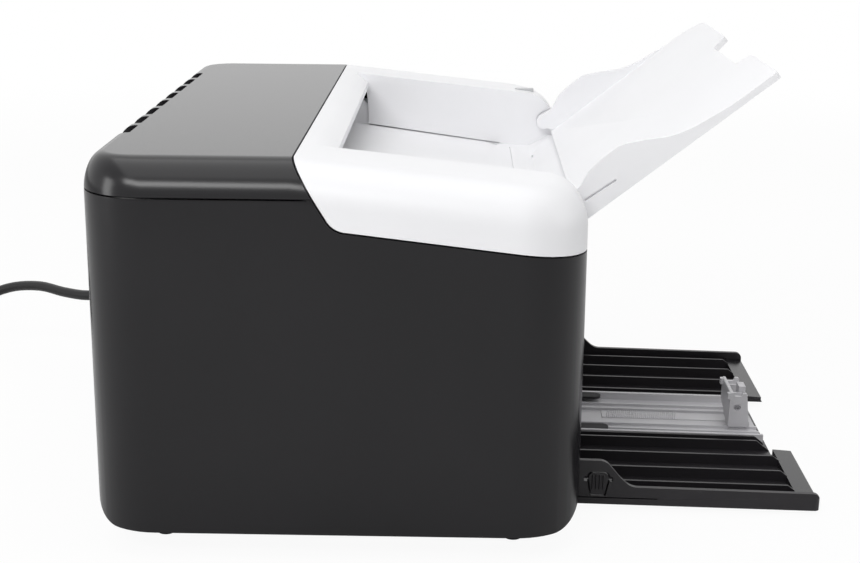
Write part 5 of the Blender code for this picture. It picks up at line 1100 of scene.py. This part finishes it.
def makeLever(spec):
    along, up = spec["axis"]
    half, reach = spec["half"], spec["axleHalf"]
    body = trayBlock(-half, half, *spec["blade"])
    join(body, trayBlock(-half, half, *spec["thumb"]),
         bar("X", (-along, up - tray["under"]), spec["axle"], -reach, reach, 24))
    dressed(body, "squeezeLever", spec["edge"], acetalGrey)
    laid(body, "lever", "grey_plastic", "guide_lever")


makeChannel(channel)
makeTailStop(tailStop)
print("channel and tail stop moulded")


# Pan: its sides slope in under the skirt, so it stays out of sight from above
pan = {
    "inset": 2.8 * mm, "trim": 14.3 * mm, "top": 12.1 * mm, "brim": 11.3 * mm, "low": 4.0 * mm,
    "slopeIn": 16 * mm, "wall": 1.6 * mm, "corner": 24 * mm,
    "sill": (107 * mm, 10.5 * mm, 5.2 * mm), "lugX": (112.3 * mm, 115.0 * mm), "armIn": 2.5 * mm,
    "armHalf": 3 * mm, "lug": 4.5 * mm, "pinEnd": 108.7 * mm, "pin": 2.0 * mm, "edge": 0.3,
}


def makePan(spec):
    bm = bmesh.new()

    def ring(inset, height):
        half = shell["halfWidth"] - spec["inset"] - inset
        outline = roundRectangle(-half, half, frontY + spec["trim"] + inset,
                                 rearY - spec["trim"] - inset, spec["corner"] - inset, 8)
        return [bm.verts.new((x, y, height)) for x, y in outline]

    wall = spec["wall"]
    outer = [ring(0, spec["top"]), ring(0, spec["brim"]), ring(spec["slopeIn"], spec["low"])]
    inner = [ring(wall, spec["top"]), ring(wall, spec["brim"] + wall / 2),
             ring(spec["slopeIn"], spec["low"] + wall)]
    levels = list(reversed(outer)) + inner
    bridged(bm, levels)
    bm.faces.new(levels[-1])
    body = addMesh("pan", bm, absBlack)
    y, z = frontY + tray["pivot"][0], tray["pivot"][1]
    near = frontY + spec["trim"] + spec["armIn"]
    reach, sillFront, sillLow = spec["sill"]  # closes the gap behind the folded tray's root
    join(body, block((-reach, frontY + sillFront, sillLow), (reach, near, spec["brim"])))
    thick = spec["armHalf"]
    arm = [(y, z - thick), (near, spec["brim"] - thick), (near, spec["top"]), (y, z + thick)]
    for side in (-1, 1):
        faces = onSide(side, *spec["lugX"])
        join(body, pushedOut("X", [arm], *faces, "lugArm"),
             bar("X", (y, z), spec["lug"], *faces, 24))
        ends = onSide(side, spec["pinEnd"], spec["lugX"][1])
        join(body, bar("X", (y, z), spec["pin"], *ends, 24))
    dressed(body, "panShell", spec["edge"], absBlack)
    carries(body, "body", "black_plastic", "base_pan")


makePan(pan)
print("pan moulded")


# Rubber feet taper to a smaller tread
foot = {"top": 3.7 * mm, "wide": 6.5 * mm, "tread": 4.0 * mm, "inset": 29.5 * mm, "edge": 0.3}


def makeFeet(spec):
    away = shell["depth"] / 2 - spec["inset"]
    for x, nearFar in ((-1, "near"), (1, "far")):
        for y, frontRear in ((-1, "front"), (1, "rear")):
            bm = bmesh.new()
            bmesh.ops.create_cone(bm, cap_ends=True, segments=40, radius1=spec["tread"],
                                  radius2=spec["wide"], depth=spec["top"])
            place = (x * (shell["halfWidth"] - spec["inset"]), middleY + y * away, spec["top"] / 2)
            bmesh.ops.translate(bm, vec=place, verts=bm.verts)
            name = f"{frontRear}_{nearFar}"
            made = addMesh(name, bm, rubberBlack)
            dressed(made, f"{frontRear}{nearFar.title()}Foot", spec["edge"], rubberBlack)
            carries(made, "body", "black_rubber", f"foot_{name}")


makeFeet(foot)
makeLever(lever)
makeButton(button)
print("feet, lever and button moulded")


# Inner pieces keep their CAD shape and get their own finish
finishes = {
    absBlack: ("paper_bed", "side_guide_near", "side_guide_far", "toner_cartridge",
               "laser_scanner"),
    acetalGrey: ("guide_pinion", "feed_pinch_roller", "exit_pinch_roller"),
    acetalCream: ("drum_gear",),
    foamGrey: ("feed_roller", "pick_roller", "exit_roller", "transfer_roller"),
    corkPad: ("separation_pad",),
    sleeveBrown: ("heat_roller", "pressure_roller"),
    drumCoat: ("photo_drum",),
    boardGreen: ("main_board",),
    rubberBlack: ("strain_relief", "cord_tie", "plug_body"),
    zincSheet: ("side_frame_near", "side_frame_far", "fuser_frame", "main_motor"),
    groundSteel: ("usb_socket",),
    drawnBrass: ("motor_pinion", "plug_pin_near", "plug_pin_far"),
}
for material, names in finishes.items():
    for name in names:
        coat(nodes[name], material)
        smoothBy(nodes[name], 30)
print("inner pieces finished")


# Studio: a pale floor, a white surround and soft boxes, each (place, width, height, watts)
studio = {
    "floorSize": 14.0, "fadeFrom": 0.75, "fadeTo": 1.5, "floorGlow": 0.94,
    "paper": ("#f6f6f6", "#fafafa"), "fibre": 4 * mm, "aim": (0, 0.03, 0.08),
    "lamps": {
        "overhead": ((0.0, 0.0, 1.7), 2.2, 2.2, 19.5),
        "camera": ((-1.2, 0.5, 1.04), 1.0, 0.3, 9.5),
        "rearEdge": ((-0.7, 1.8, 0.4), 0.5, 1.2, 10.0),
        "front": ((-0.3, -1.9, 0.7), 1.2, 1.0, 5.5),
        "backdrop": ((2.4, 0.0, 0.9), 3.0, 1.6, 2.0),
    },
    "surround": 0.17,
}


def mattPaper(spec):
    # painted board: matt, and for the camera it fades into plain white away from the object
    material, tree, shader, place = newMaterial("mattPaper")
    fibre = addNode(tree, "ShaderNodeTexNoise", None,
                    {"Vector": place, "Scale": 1 / spec["fibre"], "Detail": 2.0})
    dark, light = (linear(code) for code in spec["paper"])
    tone = addNode(tree, "ShaderNodeMixRGB", None,
                   {"Fac": fibre.outputs["Fac"], "Color1": dark, "Color2": light})
    setInputs(tree, shader, {
        "Base Color": tone.outputs["Color"], "Roughness": 0.9, "Specular IOR Level": 0.1})
    reach = addNode(tree, "ShaderNodeVectorMath", {"operation": "LENGTH"}, {0: place})
    fade = addNode(tree, "ShaderNodeMapRange", {"interpolation_type": "SMOOTHSTEP"},
                   {"Value": reach.outputs["Value"], "From Min": spec["fadeFrom"],
                    "From Max": spec["fadeTo"], "To Min": spec["floorGlow"], "To Max": 1.0})
    path = addNode(tree, "ShaderNodeLightPath")
    seen = addNode(tree, "ShaderNodeMath", {"operation": "MULTIPLY"},
                   {0: fade.outputs["Result"], 1: path.outputs["Is Camera Ray"]})
    plain = addNode(tree, "ShaderNodeEmission", None,
                    {"Color": (1.0, 1.0, 1.0, 1.0), "Strength": 1.0})
    mix = addNode(tree, "ShaderNodeMixShader", None,
                  {"Fac": seen.outputs["Value"], 1: shader.outputs["BSDF"],
                   2: plain.outputs["Emission"]})
    setInputs(tree, tree.nodes["Material Output"], {"Surface": mix.outputs["Shader"]})
    return material


def makeStudio(spec):
    bm = bmesh.new()
    bmesh.ops.create_grid(bm, x_segments=2, y_segments=2, size=spec["floorSize"] / 2)
    floor = addMesh("studioFloor", bm, mattPaper(spec))
    world = bpy.data.worlds.new("studioSurround")
    world.use_nodes = True
    tree = world.node_tree
    soft = tree.nodes["Background"]
    white = (1.0, 1.0, 1.0, 1.0)
    setInputs(tree, soft, {"Color": white, "Strength": spec["surround"]})
    bright = addNode(tree, "ShaderNodeBackground", None, {"Color": white, "Strength": 1.0})
    path = addNode(tree, "ShaderNodeLightPath")
    mirror = addNode(tree, "ShaderNodeMath", {"operation": "MAXIMUM"},
                     {0: path.outputs["Is Glossy Ray"], 1: path.outputs["Is Transmission Ray"]})
    shown = addNode(tree, "ShaderNodeMath", {"operation": "MAXIMUM"},
                    {0: mirror.outputs["Value"], 1: path.outputs["Is Camera Ray"]})
    mix = addNode(tree, "ShaderNodeMixShader", None,
                  {"Fac": shown.outputs["Value"], 1: soft.outputs["Background"],
                   2: bright.outputs["Background"]})
    setInputs(tree, tree.nodes["World Output"], {"Surface": mix.outputs["Shader"]})
    bpy.context.scene.world = world
    for name, (place, wide, high, power) in spec["lamps"].items():
        light = bpy.data.lights.new(f"{name}Lamp", "AREA")
        light.shape = "RECTANGLE"
        light.size, light.size_y = wide, high
        light.energy = power
        made = newObject(f"{name}Lamp", light)
        made.location = place
        made.rotation_mode = "QUATERNION"
        aim = Vector(place) - Vector(spec["aim"])
        made.rotation_quaternion = aim.to_track_quat("Z", "Y")


makeStudio(studio)
bpy.context.scene.view_settings.view_transform = "Standard"
print("studio set")
